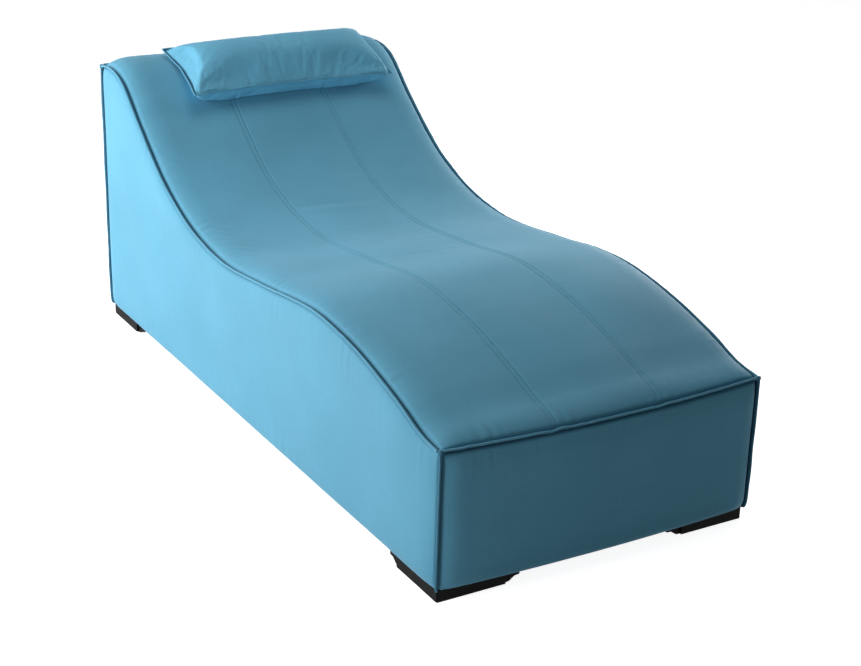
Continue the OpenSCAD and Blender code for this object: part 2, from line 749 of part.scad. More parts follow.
// Least height over the seam plane that keeps the underside clear of the lying surface
function clear_h(u, v, h = 0, turns = 5) =
    let (p = pillow_at(u, v, 0, 0, h),
         s = profile_slope(p[1]),
         short = surface_z(p[0], p[1]) + pillow_gap * sqrt(1 + s * s) - p[2])
    turns == 0 ? h : clear_h(u, v, h + short / (cos(pillow_tilt) + s * sin(pillow_tilt)), turns - 1);
function top_h(u, v) = flange_half + pillow_rise * fullness(u, v);
function under_h(u, v) =
    max(-flange_half - pillow_under * fullness(u, v), clear_h(u, v));
flange_half = cover_t + lay / 2;

// Panels reach one ring of cells past the seam as the flange
ring_u = concat([-1], [for (u = u_shares) 0], [1]);
ring_v = concat([-1], [for (v = v_shares) 0], [1]);
panel_u = concat([-1], u_shares, [1]);
panel_v = concat([-1], v_shares, [1]);
function panel_grid(upper, inset) =
    [for (j = [0 : len(panel_v) - 1]) [for (i = [0 : len(panel_u) - 1])
        let (u = panel_u[i], v = panel_v[j],
             h = upper ? top_h(u, v) - inset : under_h(u, v) + inset)
        pillow_at(u, v, ring_u[i], ring_v[j], h)]];

module pillow_top_panel() {
    color(blue) slab(panel_grid(true, cover_t), panel_grid(true, 0));
}

module pillow_under_panel() {
    color(blue) slab(panel_grid(false, cover_t), panel_grid(false, 0), true);
}

module pillow_filling() {
    inner_u = [for (i = [1 : len(u_shares) - 2]) u_shares[i]];
    inner_v = [for (j = [1 : len(v_shares) - 2]) v_shares[j]];
    skin = cover_t + 2 * lay;
    color("white") slab(
        [for (v = inner_v) [for (u = inner_u) pillow_at(u, v, 0, 0, under_h(u, v) + skin)]],
        [for (v = inner_v) [for (u = inner_u) pillow_at(u, v, 0, 0, top_h(u, v) - skin)]]
    );
}

side_panel(left);  // side_panel_left
side_panel(right);  // side_panel_right
centre_rib();
end_board(foot_end);  // foot_end_board
end_board(head_end);  // head_end_board
base_rails();
deck_battens();
corner_blocks();
curved_deck();
seat_foam();
side_foam(left);  // side_foam_left
side_foam(right);  // side_foam_right
end_foam(foot_end);  // foot_end_foam
end_foam(head_end);  // head_end_foam
top_cover(left_columns, true, false);  // top_cover_left
top_cover(centre_columns, false, false);  // top_cover_centre
top_cover(right_columns, false, true);  // top_cover_right
side_cover(left);  // side_cover_left
side_cover(right);  // side_cover_right
end_cover(foot_end);  // foot_end_cover
end_cover(head_end);  // head_end_cover
edge_seam(left);  // edge_seam_left
edge_seam(right);  // edge_seam_right
end_seam(foot_end);  // foot_end_seam
end_seam(head_end);  // head_end_seam
corner_seams();
dust_cover();
foot(left, foot_end);  // foot_front_left
foot(right, foot_end);  // foot_front_right
foot(left, head_end);  // foot_back_left
foot(right, head_end);  // foot_back_right
foot_screws();
frame_screws();
tape(lay);  // loop_tape
tape(2 * lay + tape_t);  // hook_tape
pillow_top_panel();
pillow_under_panel();
pillow_filling();
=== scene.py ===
"""Looks of the spa relaxation lounger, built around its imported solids, in metres.

The foot end faces -Y, the head end faces +Y, and the floor is z = 0. The lying surface, the
sides and the seams follow the same side profile as the solids do.
"""

import math

import bmesh
import bpy
import numpy as np
from mathutils import Matrix, Vector


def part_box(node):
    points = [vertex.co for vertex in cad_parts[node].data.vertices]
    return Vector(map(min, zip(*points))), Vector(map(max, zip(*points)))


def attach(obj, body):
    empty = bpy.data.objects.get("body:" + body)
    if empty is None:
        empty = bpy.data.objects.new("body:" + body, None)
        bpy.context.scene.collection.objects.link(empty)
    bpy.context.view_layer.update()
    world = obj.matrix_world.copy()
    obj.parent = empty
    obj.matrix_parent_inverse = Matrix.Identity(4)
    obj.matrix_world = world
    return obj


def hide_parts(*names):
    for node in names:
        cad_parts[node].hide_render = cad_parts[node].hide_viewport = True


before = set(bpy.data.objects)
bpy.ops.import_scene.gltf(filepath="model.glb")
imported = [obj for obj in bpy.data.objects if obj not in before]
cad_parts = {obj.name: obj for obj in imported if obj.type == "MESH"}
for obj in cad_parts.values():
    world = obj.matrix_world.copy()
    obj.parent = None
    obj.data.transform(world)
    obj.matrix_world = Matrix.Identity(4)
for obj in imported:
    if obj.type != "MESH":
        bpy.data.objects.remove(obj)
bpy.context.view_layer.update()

MM = 0.001

# Body, from seam to seam
BODY_W = 0.750
BODY_L = 1.700
HALF_W = BODY_W / 2
HALF_L = BODY_L / 2
FOOT_END_H = 0.322
KNEE_H = 0.422
SEAT_H = 0.379
CREST_H = 0.676
HEAD_DROP = 0.008

# Upholstery
SEAT_FOAM_T = 0.060
COVER_T = 0.0012
LAY = 0.0003
SWELL = 0.012
SWELL_POWER = 0.7
END_SWELL = 0.018
END_SHOULDER_W = 0.046
PINCH = 0.0027
PINCH_W = 0.0042
TUCK = 0.004
TUCK_H = 0.032
SHOULDER_RISE = 0.019
SHOULDER_W = 0.060
SIDE_ROUND = 0.045
CROWN = 0.008
END_BOW = 0.012
END_SAG = 0.006
BOW_FADE = 0.150
STITCH_X = 0.127
STITCH_ROW = 0.0055
CHANNEL_SINK = 0.002
ROW_DIP_W = 0.0030
ROW_SHARE = 0.55
GROOVE_W = 0.0012
GROOVE_SHARE = 0.30
FLANGE_W = 0.009
FLANGE_T = 0.0048
FLANGE_TRIM = 0.0025
SEWN_GAP = 0.0003
HEM_W = 0.030

# Frame, hem and dust cover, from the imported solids
FRAME_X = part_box("side_panel_right")[1].x
FRAME_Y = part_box("head_end_board")[1].y
DUST_LOW, DUST_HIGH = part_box("dust_cover")
HEM_Z = DUST_HIGH.z

# Side profile: stations as shares of the length, heights between the named heights
KNOT_SHARES = np.array(
    [0, 0.03, 0.09, 0.16, 0.285, 0.44, 0.575, 0.675, 0.77, 0.853, 0.923, 0.974, 1]
)
THIGH_RISE = np.array([0, 0.055, 0.385, 0.71, 1])
SEAT_FALL = 0.40
BACK_RISE = np.array([0.085, 0.31, 0.645, 0.95, 1])
END_TURN = 1.5
KNOT_Y = (KNOT_SHARES - 0.5) * BODY_L
KNOT_Z = np.hstack((
    FOOT_END_H + THIGH_RISE * (KNEE_H - FOOT_END_H),
    SEAT_H + SEAT_FALL * (KNEE_H - SEAT_H), SEAT_H,
    SEAT_H + BACK_RISE * (CREST_H - SEAT_H),
    CREST_H - HEAD_DROP,
))
RUN = np.diff(KNOT_Y)
CHORD = np.diff(KNOT_Z) / RUN
TANGENT = np.hstack((
    CHORD[0],
    (RUN[1:] * CHORD[:-1] + RUN[:-1] * CHORD[1:]) / (RUN[1:] + RUN[:-1]),
    END_TURN * CHORD[-1],
))

# Pillow
PILLOW_W = 0.545
PILLOW_D = 0.210
PILLOW_X = 0.032
PILLOW_RISE = 0.064
PILLOW_UNDER = 0.058
PILLOW_FRONT_LIFT = 0.052
PILLOW_BACK_LIFT = 0.017
PILLOW_DRAW = 0.012
PILLOW_FLANGE = 0.008
PILLOW_FLANGE_T = 0.0026
PILLOW_SEW_IN = 0.0015
PILLOW_MID_SHARE = 0.907
PILLOW_RUN_SHARE = 0.88
PILLOW_COLUMNS = 137
PILLOW_ROWS = 53


# Form of the body


def profile(y):
    """Height and slope of the side profile at a place along the length."""
    y = np.asarray(y, float)
    i = np.clip(np.searchsorted(KNOT_Y, y, side="right") - 1, 0, len(RUN) - 1)
    t = (y - KNOT_Y[i]) / RUN[i]
    z = (
        (2 * t**3 - 3 * t**2 + 1) * KNOT_Z[i]
        + (t**3 - 2 * t**2 + t) * RUN[i] * TANGENT[i]
        + (3 * t**2 - 2 * t**3) * KNOT_Z[i + 1]
        + (t**3 - t**2) * RUN[i] * TANGENT[i + 1]
    )
    slope = (
        (6 * t**2 - 6 * t) * (KNOT_Z[i] - KNOT_Z[i + 1]) / RUN[i]
        + (3 * t**2 - 4 * t + 1) * TANGENT[i]
        + (3 * t**2 - 2 * t) * TANGENT[i + 1]
    )
    return z, slope


def profile_up(y):
    """Height of the side profile, and the shares along and up of the way square to it."""
    z, slope = profile(y)
    size = np.sqrt(1 + slope**2)
    return z, -slope / size, 1 / size


def end_height(end):
    """Height of an end's seam at its corners."""
    return float(profile(end * HALF_L)[0])


def across(x):
    """Share of a middle bow at a place across the body."""
    return 1 - np.minimum(np.abs(x) / HALF_W, 1) ** 2


def xyz(x, y, z):
    """Points from their coordinates."""
    return np.stack(np.broadcast_arrays(x, y, z), -1)


def fade(distance, width):
    """Even rise from 0 to 1 over a width."""
    return np.clip(distance / width, 0, 1)


def quarter_round(distance, width):
    """Rise from 0 to 1 of a rounded edge, over a width."""
    e = fade(distance, width)
    return np.sqrt(1 - (1 - e) ** 2)


def pinch(distance):
    """How far the cloth is drawn in beside a seam."""
    return PINCH * np.exp(-((distance / PINCH_W) ** 2))


def sewn_dip(x):
    """Depth of the double-stitched seams: a dip at each row and a fine groove between."""
    d = np.abs(np.abs(x) - STITCH_X)
    rows = np.exp(-(((d - STITCH_ROW) / ROW_DIP_W) ** 2))
    groove = np.exp(-((d / GROOVE_W) ** 2))
    return CHANNEL_SINK * (ROW_SHARE * rows + GROOVE_SHARE * groove)


def surface_point(x, y, lift=0.0):
    """Point of the lying surface, lifted square to the side profile."""
    z, way_y, way_z = profile_up(y)
    from_side = HALF_W - np.abs(x)
    from_end = HALF_L - np.abs(y)
    rise = quarter_round(from_side, SHOULDER_W) * quarter_round(from_end, SHOULDER_W)
    side_pinch, end_pinch = pinch(from_side), pinch(from_end)
    c = rise * (SHOULDER_RISE + CROWN * across(x) - sewn_dip(x)) + lift - side_pinch - end_pinch
    share = np.clip(1 - from_end / BOW_FADE, 0, 1) ** 2 * across(x)
    return xyz(
        x - np.sign(x) * side_pinch,
        y + way_y * c + np.sign(y) * (END_BOW * share - end_pinch),
        z + way_z * c - END_SAG * share,
    )


def surface_height(x, y):
    """Height of the lying surface over a floor point."""
    s = np.array(y, float)
    for _ in range(5):
        s = s - (surface_point(x, s)[..., 1] - y)
    return surface_point(x, s)[..., 2]


def waves(u, v, length_u, length_v, seed, count=12):
    """Smooth random relief of about -1 to 1, with about the given wavelengths."""
    rng = np.random.default_rng(seed)
    total = 0
    for _ in range(count):
        angle, phase = rng.uniform(0, math.tau, 2)
        k = math.tau * rng.uniform(0.55, 1.3)
        total = total + np.cos(
            k * (math.cos(angle) * u / length_u + math.sin(angle) * v / length_v) + phase
        )
    return total / math.sqrt(count)


def puckers(s, pitch, seed):
    """Irregular ripples along a seam, of about -1 to 1."""
    rng = np.random.default_rng(seed)
    total = 0
    for _ in range(5):
        k = math.tau / pitch * rng.uniform(0.6, 1.5)
        total = total + np.cos(k * s + rng.uniform(0, math.tau))
    swell = 0.55 + 0.45 * np.cos(math.tau * s / (7 * pitch) + rng.uniform(0, math.tau))
    return total / math.sqrt(5) * swell


def fold(a, b, from_a, from_b, to_a, to_b, width, height):
    """A soft fold along a line on a cloth, highest near its start and fading at both ends."""
    way_a, way_b = to_a - from_a, to_b - from_b
    size = math.hypot(way_a, way_b)
    t = ((a - from_a) * way_a + (b - from_b) * way_b) / size**2
    off = ((a - from_a) * way_b - (b - from_b) * way_a) / size
    along = np.sin(math.pi * np.clip(t, 0, 1) ** 0.6)
    return height * along * np.exp(-((off / width) ** 2))


# Folds of the lying surface, in mm: from x and y, to x and y, then width and height
PLACED_FOLDS = MM * np.array([
    (-130, 285, 120, 262, 10, -1),
    (-120, 262, 100, 235, 13, 0.9),
    (-110, 325, 105, 310, 12, 0.6),
    (-370, 655, -140, 628, 12, 2.2),
    (-365, 620, -190, 595, 12, -1.4),
])


def edge_folds(side, count, low, high, seed):
    """Short folds that run from a long edge seam inwards and towards the foot end."""
    rng = np.random.default_rng(seed)
    folds = []
    for place in np.linspace(low, high, count):
        y = place + rng.uniform(-0.008, 0.008)
        reach = rng.uniform(0.045, 0.095)
        x = side * (HALF_W - 0.006)
        height = rng.uniform(0.6, 1.3) * MM
        width = rng.uniform(4, 7) * MM
        folds.append((x, y, x - side * reach, y - 0.8 * reach, width, height))
    return folds


SURFACE_FOLDS = (
    *PLACED_FOLDS, *edge_folds(-1, 15, 0.12, 0.52, 5), *edge_folds(1, 9, 0.10, 0.36, 6)
)


def seam_puckers(distance, along, height, reach, pitch, seed):
    """Ripples along a seam that fade away from it."""
    return height * np.exp(-distance / reach) * puckers(along, pitch, seed)


# Puckers: height, reach from the seam, pitch along the seam and seed
AT_STITCHES = (0.30 * MM, 0.013, 0.021, 11)
AT_EDGES = (0.85 * MM, 0.026, 0.034, 13)
AT_ENDS = (0.95 * MM, 0.030, 0.030, 17)
# Distances over which wrinkles settle at a seam
SETTLE_W = 0.03
SETTLE_MID_W = 0.02
SETTLE_FINE_W = 0.008


def surface_relief(x, y):
    """Small wrinkles of the lying surface."""
    from_side = HALF_W - np.abs(x)
    from_end = HALF_L - np.abs(y)
    from_stitches = np.abs(np.abs(x) - STITCH_X)
    inside = fade(STITCH_X - np.abs(x), SETTLE_MID_W)
    settled = fade(from_side, SETTLE_W) * fade(from_end, SETTLE_W)
    broad = 1.3 * MM * waves(x, y, 0.26, 0.30, 3)
    ripple = (
        0.22 * MM * inside * np.clip(0.3 + waves(x, y, 0.30, 0.45, 5), 0, 1.4)
        * waves(x, y, 0.30, 0.045, 7)
    )
    relief = settled * (broad + ripple) + sum(fold(x, y, *each) for each in SURFACE_FOLDS)
    for distance, along, calm, pucker in (
        (from_stitches, y + 0.004 * np.sin(x * 40), fade(from_end, SETTLE_MID_W), AT_STITCHES),
        (from_side, y + np.sign(x) * 0.13, fade(from_side, SETTLE_FINE_W), AT_EDGES),
        (from_end, x + np.sign(y) * 0.2, fade(from_end, SETTLE_FINE_W), AT_ENDS),
    ):
        relief = relief + calm * seam_puckers(distance, along, *pucker)
    return relief


def side_swell(below_seam, above_hem, from_corner, swell=SWELL, shoulder=SHOULDER_W):
    """How far a padded side stands out at a row: nothing at its seams."""
    top = quarter_round(below_seam, SIDE_ROUND)
    low = quarter_round(above_hem, TUCK_H)
    inward = 1 - (1 - fade(from_corner, shoulder)) ** 2
    return swell * top * low * inward**SWELL_POWER - TUCK * (1 - low)


# Meshes


def unit(ways):
    """The same ways with a length of 1."""
    return ways / np.linalg.norm(ways, axis=-1, keepdims=True)


def add_object(name, data):
    """A new object in the scene."""
    thing = bpy.data.objects.new(name, data)
    bpy.context.scene.collection.objects.link(thing)
    return thing


def add_piece(name, mesh, material=None):
    """A new object made of a mesh, with its material."""
    if material:
        mesh.materials.append(material)
    return add_object(name, mesh)


def dress(piece, *nodes, body="lounger", slot="cover_fabric"):
    """The body that a piece rides on and the nodes it stands for. Its slot is not used."""
    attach(piece, body)
    if nodes:
        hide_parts(*nodes)


def new_mesh(name, points, faces, edges=()):
    """A mesh from a grid or list of points, and lists of point numbers."""
    mesh = bpy.data.meshes.new(name)
    mesh.from_pydata(np.reshape(points, (-1, 3)).tolist(), edges, faces)
    return mesh


def cloth_mesh(name, points, faces, uv, sharp):
    """A mesh with outward faces, smooth shading with sharp folds, and the cloth's own places."""
    mesh = new_mesh(name, points, faces)
    work = bmesh.new()
    work.from_mesh(mesh)
    bmesh.ops.recalc_face_normals(work, faces=work.faces)
    if work.calc_volume(signed=True) < 0:
        bmesh.ops.reverse_faces(work, faces=work.faces)
    work.to_mesh(mesh)
    work.free()
    mesh.shade_smooth()
    mesh.set_sharp_from_angle(angle=math.radians(sharp))
    corner = np.zeros(len(mesh.loops), int)
    mesh.loops.foreach_get("vertex_index", corner)
    layer = mesh.uv_layers.new(name="cloth")
    layer.data.foreach_set("uv", np.asarray(uv, np.float32)[corner].ravel())
    return mesh


def write_attribute(mesh, name, values):
    """Keeps a number, or a way of three numbers, on each point of a mesh."""
    kind, field = ("FLOAT_VECTOR", "vector") if np.ndim(values) > 1 else ("FLOAT", "value")
    layer = mesh.attributes.new(name, kind, "POINT")
    layer.data.foreach_set(field, np.asarray(values, np.float32).ravel())


def point_numbers(grid):
    """Numbers of the points of a grid, row by row."""
    rows, cols = grid.shape[:2]
    return np.arange(rows * cols).reshape(rows, cols)


def quads(number):
    """Faces between neighbours in a grid of point numbers."""
    a, b = number[:-1, :-1].ravel(), number[:-1, 1:].ravel()
    c, d = number[1:, 1:].ravel(), number[1:, :-1].ravel()
    return np.stack([a, b, c, d], -1)


def run_lengths(points, axis=0):
    """Lengths along a line or grid of points, from its first point on."""
    steps = np.diff(points, axis=axis, prepend=points.take([0], axis))
    return np.cumsum(np.linalg.norm(steps, axis=-1), axis)


def cloth_uv(grid):
    """Lengths across and along a grid of points, in metres."""
    u, v = run_lengths(grid, 1), run_lengths(grid)
    u -= u[:, u.shape[1] // 2][:, None]
    return np.stack([u, v], -1).reshape(-1, 2)


def shell(name, outer, inner, material, sharp=50):
    """Closed form between an outer and an inner grid of points."""
    number = point_numbers(outer)
    count = number.size
    rim = np.hstack([number[0, :-1], number[:-1, -1], number[-1, :0:-1], number[:0:-1, 0]])
    after = np.roll(rim, -1)
    sides = np.stack([after, rim, rim + count, after + count], -1)
    faces = np.concatenate([quads(number), quads(number + count)[:, ::-1], sides])
    uv = np.tile(cloth_uv(outer), (2, 1))
    mesh = cloth_mesh(name, np.concatenate([outer, inner]), faces.tolist(), uv, sharp)
    return add_piece(name, mesh, material)


def tube(name, rings, uv, edge, material, sharp, closed=False):
    """Skin over rings of points, closed to a loop or with flat ends, with shares of painted shade.
    """
    number = point_numbers(rings)
    ends = number[[0, -1]].tolist()
    if closed:
        ends, number = [], np.vstack([number, number[:1]])
    faces = quads(np.hstack([number, number[:, :1]])).tolist() + ends
    mesh = cloth_mesh(name, rings, faces, uv, sharp)
    write_attribute(mesh, "edge", edge)
    return add_piece(name, mesh, material)


def spaced(*stops):
    """Places from the first stop to the last, each pair of stops with its own step."""
    places = [stops[0]]
    for step, stop in zip(stops[1::2], stops[2::2]):
        count = max(1, round(abs(stop - places[-1]) / step))
        places.extend(np.linspace(places[-1], stop, count + 1)[1:])
    return np.array(places)


# Materials


def node(tree, kind, inputs=None, **settings):
    """A shader or geometry node, with its inputs given as values, sockets or other nodes."""
    made = tree.nodes.new(kind)
    for key, value in settings.items():
        setattr(made, key, value)
    for key, value in (inputs or {}).items():
        if isinstance(value, bpy.types.Node):
            value = value.outputs[0]
        if isinstance(value, bpy.types.NodeSocket):
            tree.links.new(value, made.inputs[key])
        else:
            made.inputs[key].default_value = value
    return made


def empty_tree(owner):
    """The emptied node tree of a material or of the world."""
    owner.use_nodes = True
    owner.node_tree.nodes.clear()
    return owner.node_tree


def start_material(name):
    """A new material, its empty tree and the object's own coordinates in it."""
    material = bpy.data.materials.new(name)
    tree = empty_tree(material)
    return material, tree, node(tree, "ShaderNodeTexCoord").outputs["Object"]


def end_material(material, color, roughness, normal, **plain):
    """Puts the surface together: what varies is linked, what is uniform is set."""
    varied = {"Base Color": color, "Roughness": roughness, "Normal": normal}
    shader = node(material.node_tree, "ShaderNodeBsdfPrincipled", {**plain, **varied})
    node(material.node_tree, "ShaderNodeOutputMaterial", {"Surface": shader})
    return material


def ramp(tree, value, *stops):
    """Colours or greys at places from 0 to 1."""
    made = node(tree, "ShaderNodeValToRGB", {"Fac": value})
    points = made.color_ramp.elements
    while len(points) < len(stops):
        points.new(0.5)
    for point, (place, color) in zip(points, stops):
        point.position = place
        point.color = (*color, 1) if hasattr(color, "__len__") else (color, color, color, 1)
    return made


def shaded(tree, share, color, tone):
    """A colour multiplied by a tone, by a share."""
    inputs = {0: share, 6: color, 7: tone}
    mix = node(tree, "ShaderNodeMix", inputs, data_type="RGBA", blend_type="MULTIPLY")
    return mix.outputs[2]


def product(tree, a, b):
    """Two greys multiplied."""
    return node(tree, "ShaderNodeMath", {0: a, 1: b}, operation="MULTIPLY")


def bump(tree, height, distance, strength, below=None):
    """A relief of a texture, in metres, over the one below it."""
    inputs = {"Height": height, "Distance": distance, "Strength": strength}
    if below:
        inputs["Normal"] = below
    return node(tree, "ShaderNodeBump", inputs)


def stretched(tree, place, scale):
    """Places with a scale of their own along each axis."""
    return node(tree, "ShaderNodeMapping", {"Vector": place, "Scale": scale})


def noise(tree, place, scale, detail):
    """Cloudy grey, with its scale per metre."""
    return node(tree, "ShaderNodeTexNoise", {"Vector": place, "Scale": scale, "Detail": detail})


def stripes(tree, place, scale, distortion, detail=2, **settings):
    """Grey bands or rings, with their scale per metre."""
    inputs = {"Vector": place, "Scale": scale, "Distortion": distortion, "Detail": detail}
    return node(tree, "ShaderNodeTexWave", inputs, **settings).outputs["Fac"]


def scaled(color, share):
    """A colour made lighter or darker."""
    return tuple(min(1.0, c * share) for c in color)


# Scales of the cloth's parts, per metre
WEAVE_SCALE = 330
SLUB_SCALES = ((260, 14, 1), (14, 260, 1))
CLOUD_SCALE = 5
NAP_SCALE = 420
GRAIN_SCALE = 700


def woven_fabric(name, color, edges=None):
    """Fine plain weave with soft colour variation, slubs and a faint nap."""
    material, tree, body = start_material(name)
    place = node(tree, "ShaderNodeUVMap", uv_map="cloth")
    weave = product(
        tree, *(stripes(tree, place, WEAVE_SCALE, 0.6, bands_direction=way) for way in "XY")
    )
    slub, slub_across = (noise(tree, stretched(tree, place, scale), 1, 3) for scale in SLUB_SCALES)
    nap = noise(tree, body, NAP_SCALE, 4)
    cloudy = noise(tree, body, CLOUD_SCALE, 4)
    shade = ramp(tree, cloudy, (0.3, scaled(color, 0.95)), (0.5, color), (0.7, scaled(color, 1.05)))
    streak = ramp(tree, product(tree, slub, slub_across), (0.12, 0.94), (0.40, 1.02))
    grain = ramp(tree, noise(tree, place, GRAIN_SCALE, 2), (0.3, 0.90), (0.7, 1.06))
    for share, tone in ((0.75, streak), (0.6, grain), (0.10, weave)):
        shade = shaded(tree, share, shade, tone)
    # Painted light and shade: the cloth darkened or lightened by the edge attribute of its piece.
    if edges:
        reach = node(tree, "ShaderNodeAttribute", attribute_name="edge").outputs["Fac"]
        shade = shaded(tree, 1.0, shade, ramp(tree, reach, *edges))
    normal = bump(tree, weave, 0.08 * MM, 0.5)
    normal = bump(tree, slub, 0.25 * MM, 0.35, normal)
    return end_material(
        material, shade, ramp(tree, nap, (0.3, 0.60), (0.7, 0.74)),
        bump(tree, nap, 0.3 * MM, 0.35, normal),
        **{"Sheen Weight": 0.10, "Sheen Roughness": 0.45, "Specular IOR Level": 0.14},
    )


def moulded_plastic():
    """Black plastic with a fine moulded grain and light scuffs."""
    material, tree, body = start_material("moulded_plastic")
    scuff = noise(tree, stretched(tree, body, (30, 30, 160)), 1, 5)
    shade = ramp(tree, scuff, (0.5, (0.0030, 0.0030, 0.0034)), (0.8, (0.009, 0.009, 0.010)))
    rough = ramp(tree, scuff, (0.35, 0.50), (0.75, 0.66))
    relief = bump(tree, noise(tree, body, 900, 2), 0.2 * MM, 0.25)
    return end_material(material, shade, rough, relief, **{"Specular IOR Level": 0.06})


def plywood():
    """Birch plywood: soft grain along the sheet and fine layers on its cut edges."""
    material, tree, body = start_material("birch_plywood")
    grain = noise(tree, stretched(tree, body, (60, 5, 60)), 1, 6)
    layers = stripes(tree, body, 105, 0.4, bands_direction="X")
    shade = ramp(tree, grain, (0.3, (0.60, 0.42, 0.24)), (0.65, (0.74, 0.57, 0.36)))
    rough = ramp(tree, grain, (0.3, 0.72), (0.7, 0.58))
    shade = shaded(tree, 0.16, shade, layers)
    return end_material(material, shade, rough, bump(tree, grain, 0.4 * MM, 0.4))


def pine_wood():
    """Planed pine with long growth rings."""
    material, tree, body = start_material("pine_wood")
    rings = stripes(tree, stretched(tree, body, (2.2, 38, 38)), 1.0, 4, 3, wave_type="RINGS")
    shade = ramp(tree, rings, (0.2, (0.62, 0.42, 0.22)), (0.8, (0.78, 0.58, 0.34)))
    rough = ramp(tree, rings, (0.2, 0.55), (0.8, 0.68))
    return end_material(material, shade, rough, bump(tree, rings, 0.3 * MM, 0.4))


def zinc_steel():
    """Zinc-plated steel with a faint cloudy passivation."""
    material, tree, body = start_material("zinc_steel")
    cloudy = noise(tree, body, 300, 3)
    shade = ramp(tree, cloudy, (0.3, (0.60, 0.61, 0.60)), (0.7, (0.72, 0.71, 0.66)))
    rough = ramp(tree, cloudy, (0.3, 0.30), (0.7, 0.44))
    return end_material(material, shade, rough, bump(tree, cloudy, 0.1 * MM, 0.3), Metallic=1.0)


def spunbond():
    """Black non-woven fabric with its grid of bonding points."""
    material, tree, body = start_material("spunbond")
    points = node(tree, "ShaderNodeTexVoronoi", {"Vector": body, "Scale": 420, "Randomness": 0.25})
    fibre = noise(tree, body, 260, 6)
    shade = ramp(tree, fibre, (0.3, (0.012, 0.012, 0.014)), (0.7, (0.035, 0.035, 0.038)))
    rough = ramp(tree, fibre, (0.3, 0.75), (0.7, 0.9))
    return end_material(material, shade, rough, bump(tree, points, 0.3 * MM, 0.5))


def piled_tape(name, scale):
    """Black hook-and-loop tape: a woven ground with a dense pile."""
    material, tree, body = start_material(name)
    pile = noise(tree, body, scale, 5)
    shade = ramp(tree, pile, (0.35, (0.008, 0.008, 0.009)), (0.7, (0.05, 0.05, 0.055)))
    rough = ramp(tree, pile, (0.3, 0.7), (0.7, 0.95))
    relief = bump(tree, pile, 0.6 * MM, 0.7)
    return end_material(material, shade, rough, relief, **{"Sheen Weight": 0.3})


# Colours, and painted shade on the flanges' cloth, darkest at a seam and fading towards a folded
# edge
BLUE = (0.126, 0.400, 0.572)
THREAD = (0.050, 0.220, 0.310)
FLANGE_PAINTED_SHADE = ((0.15, (0.20, 0.25, 0.28)), (0.48, (0.68, 0.73, 0.76)), (0.9, (0.98, 0.98, 0.98)))
CORNER_PAINTED_SHADE = ((0.15, (0.08, 0.11, 0.13)), (0.55, (0.34, 0.40, 0.44)), (0.9, (0.56, 0.63, 0.66)))
PILLOW_FLANGE_PAINTED_SHADE = ((0.20, (0.08, 0.12, 0.14)), (0.55, (0.30, 0.36, 0.40)), (0.9, (1, 1, 1)))
# Painted light on the pillow: its under panel lighter than its top panel
UNDER_PANEL_PAINTED_LIGHT = ((0, (1, 1, 1)), (1, (1.42, 1.38, 1.34)))
cover_cloth = woven_fabric("cover_cloth", BLUE)
# The pillow's blue is made paler than the cover's: painted light.
pillow_cloth_painted_light = woven_fabric("pillow_cloth_painted_light", scaled(BLUE, 1.15), UNDER_PANEL_PAINTED_LIGHT)
# Pillow flange: its blue is made paler as painted light, and darkest at its root as painted shade.
pillow_flange_painted_light_and_shade = woven_fabric("pillow_flange_cloth_painted_light_and_shade", scaled(BLUE, 1.12), PILLOW_FLANGE_PAINTED_SHADE)
flange_cloth_painted_shade = woven_fabric("flange_cloth_painted_shade", BLUE, FLANGE_PAINTED_SHADE)
# The upright corner flanges and nibs are painted darker all over: painted shade.
corner_cloth_painted_shade = woven_fabric("corner_cloth_painted_shade", BLUE, CORNER_PAINTED_SHADE)
thread = woven_fabric("sewing_thread", THREAD)
plastic = moulded_plastic()
ply = plywood()
pine = pine_wood()
zinc = zinc_steel()
dust_cloth = spunbond()
loop_pile = piled_tape("loop_pile", 900)
hook_pile = piled_tape("hook_pile", 500)

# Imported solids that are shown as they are
KEPT_NODES = {
    ply: "side_panel_left side_panel_right centre_rib foot_end_board head_end_board curved_deck",
    pine: "base_rails deck_battens corner_blocks",
    plastic: "foot_front_left foot_front_right foot_back_left foot_back_right",
    zinc: "foot_screws frame_screws",
    loop_pile: "loop_tape",
    hook_pile: "hook_tape",
}
for material, names in KEPT_NODES.items():
    for name in names.split():
        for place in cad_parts[name].material_slots:
            place.material = material


# Geometry Nodes for what repeats


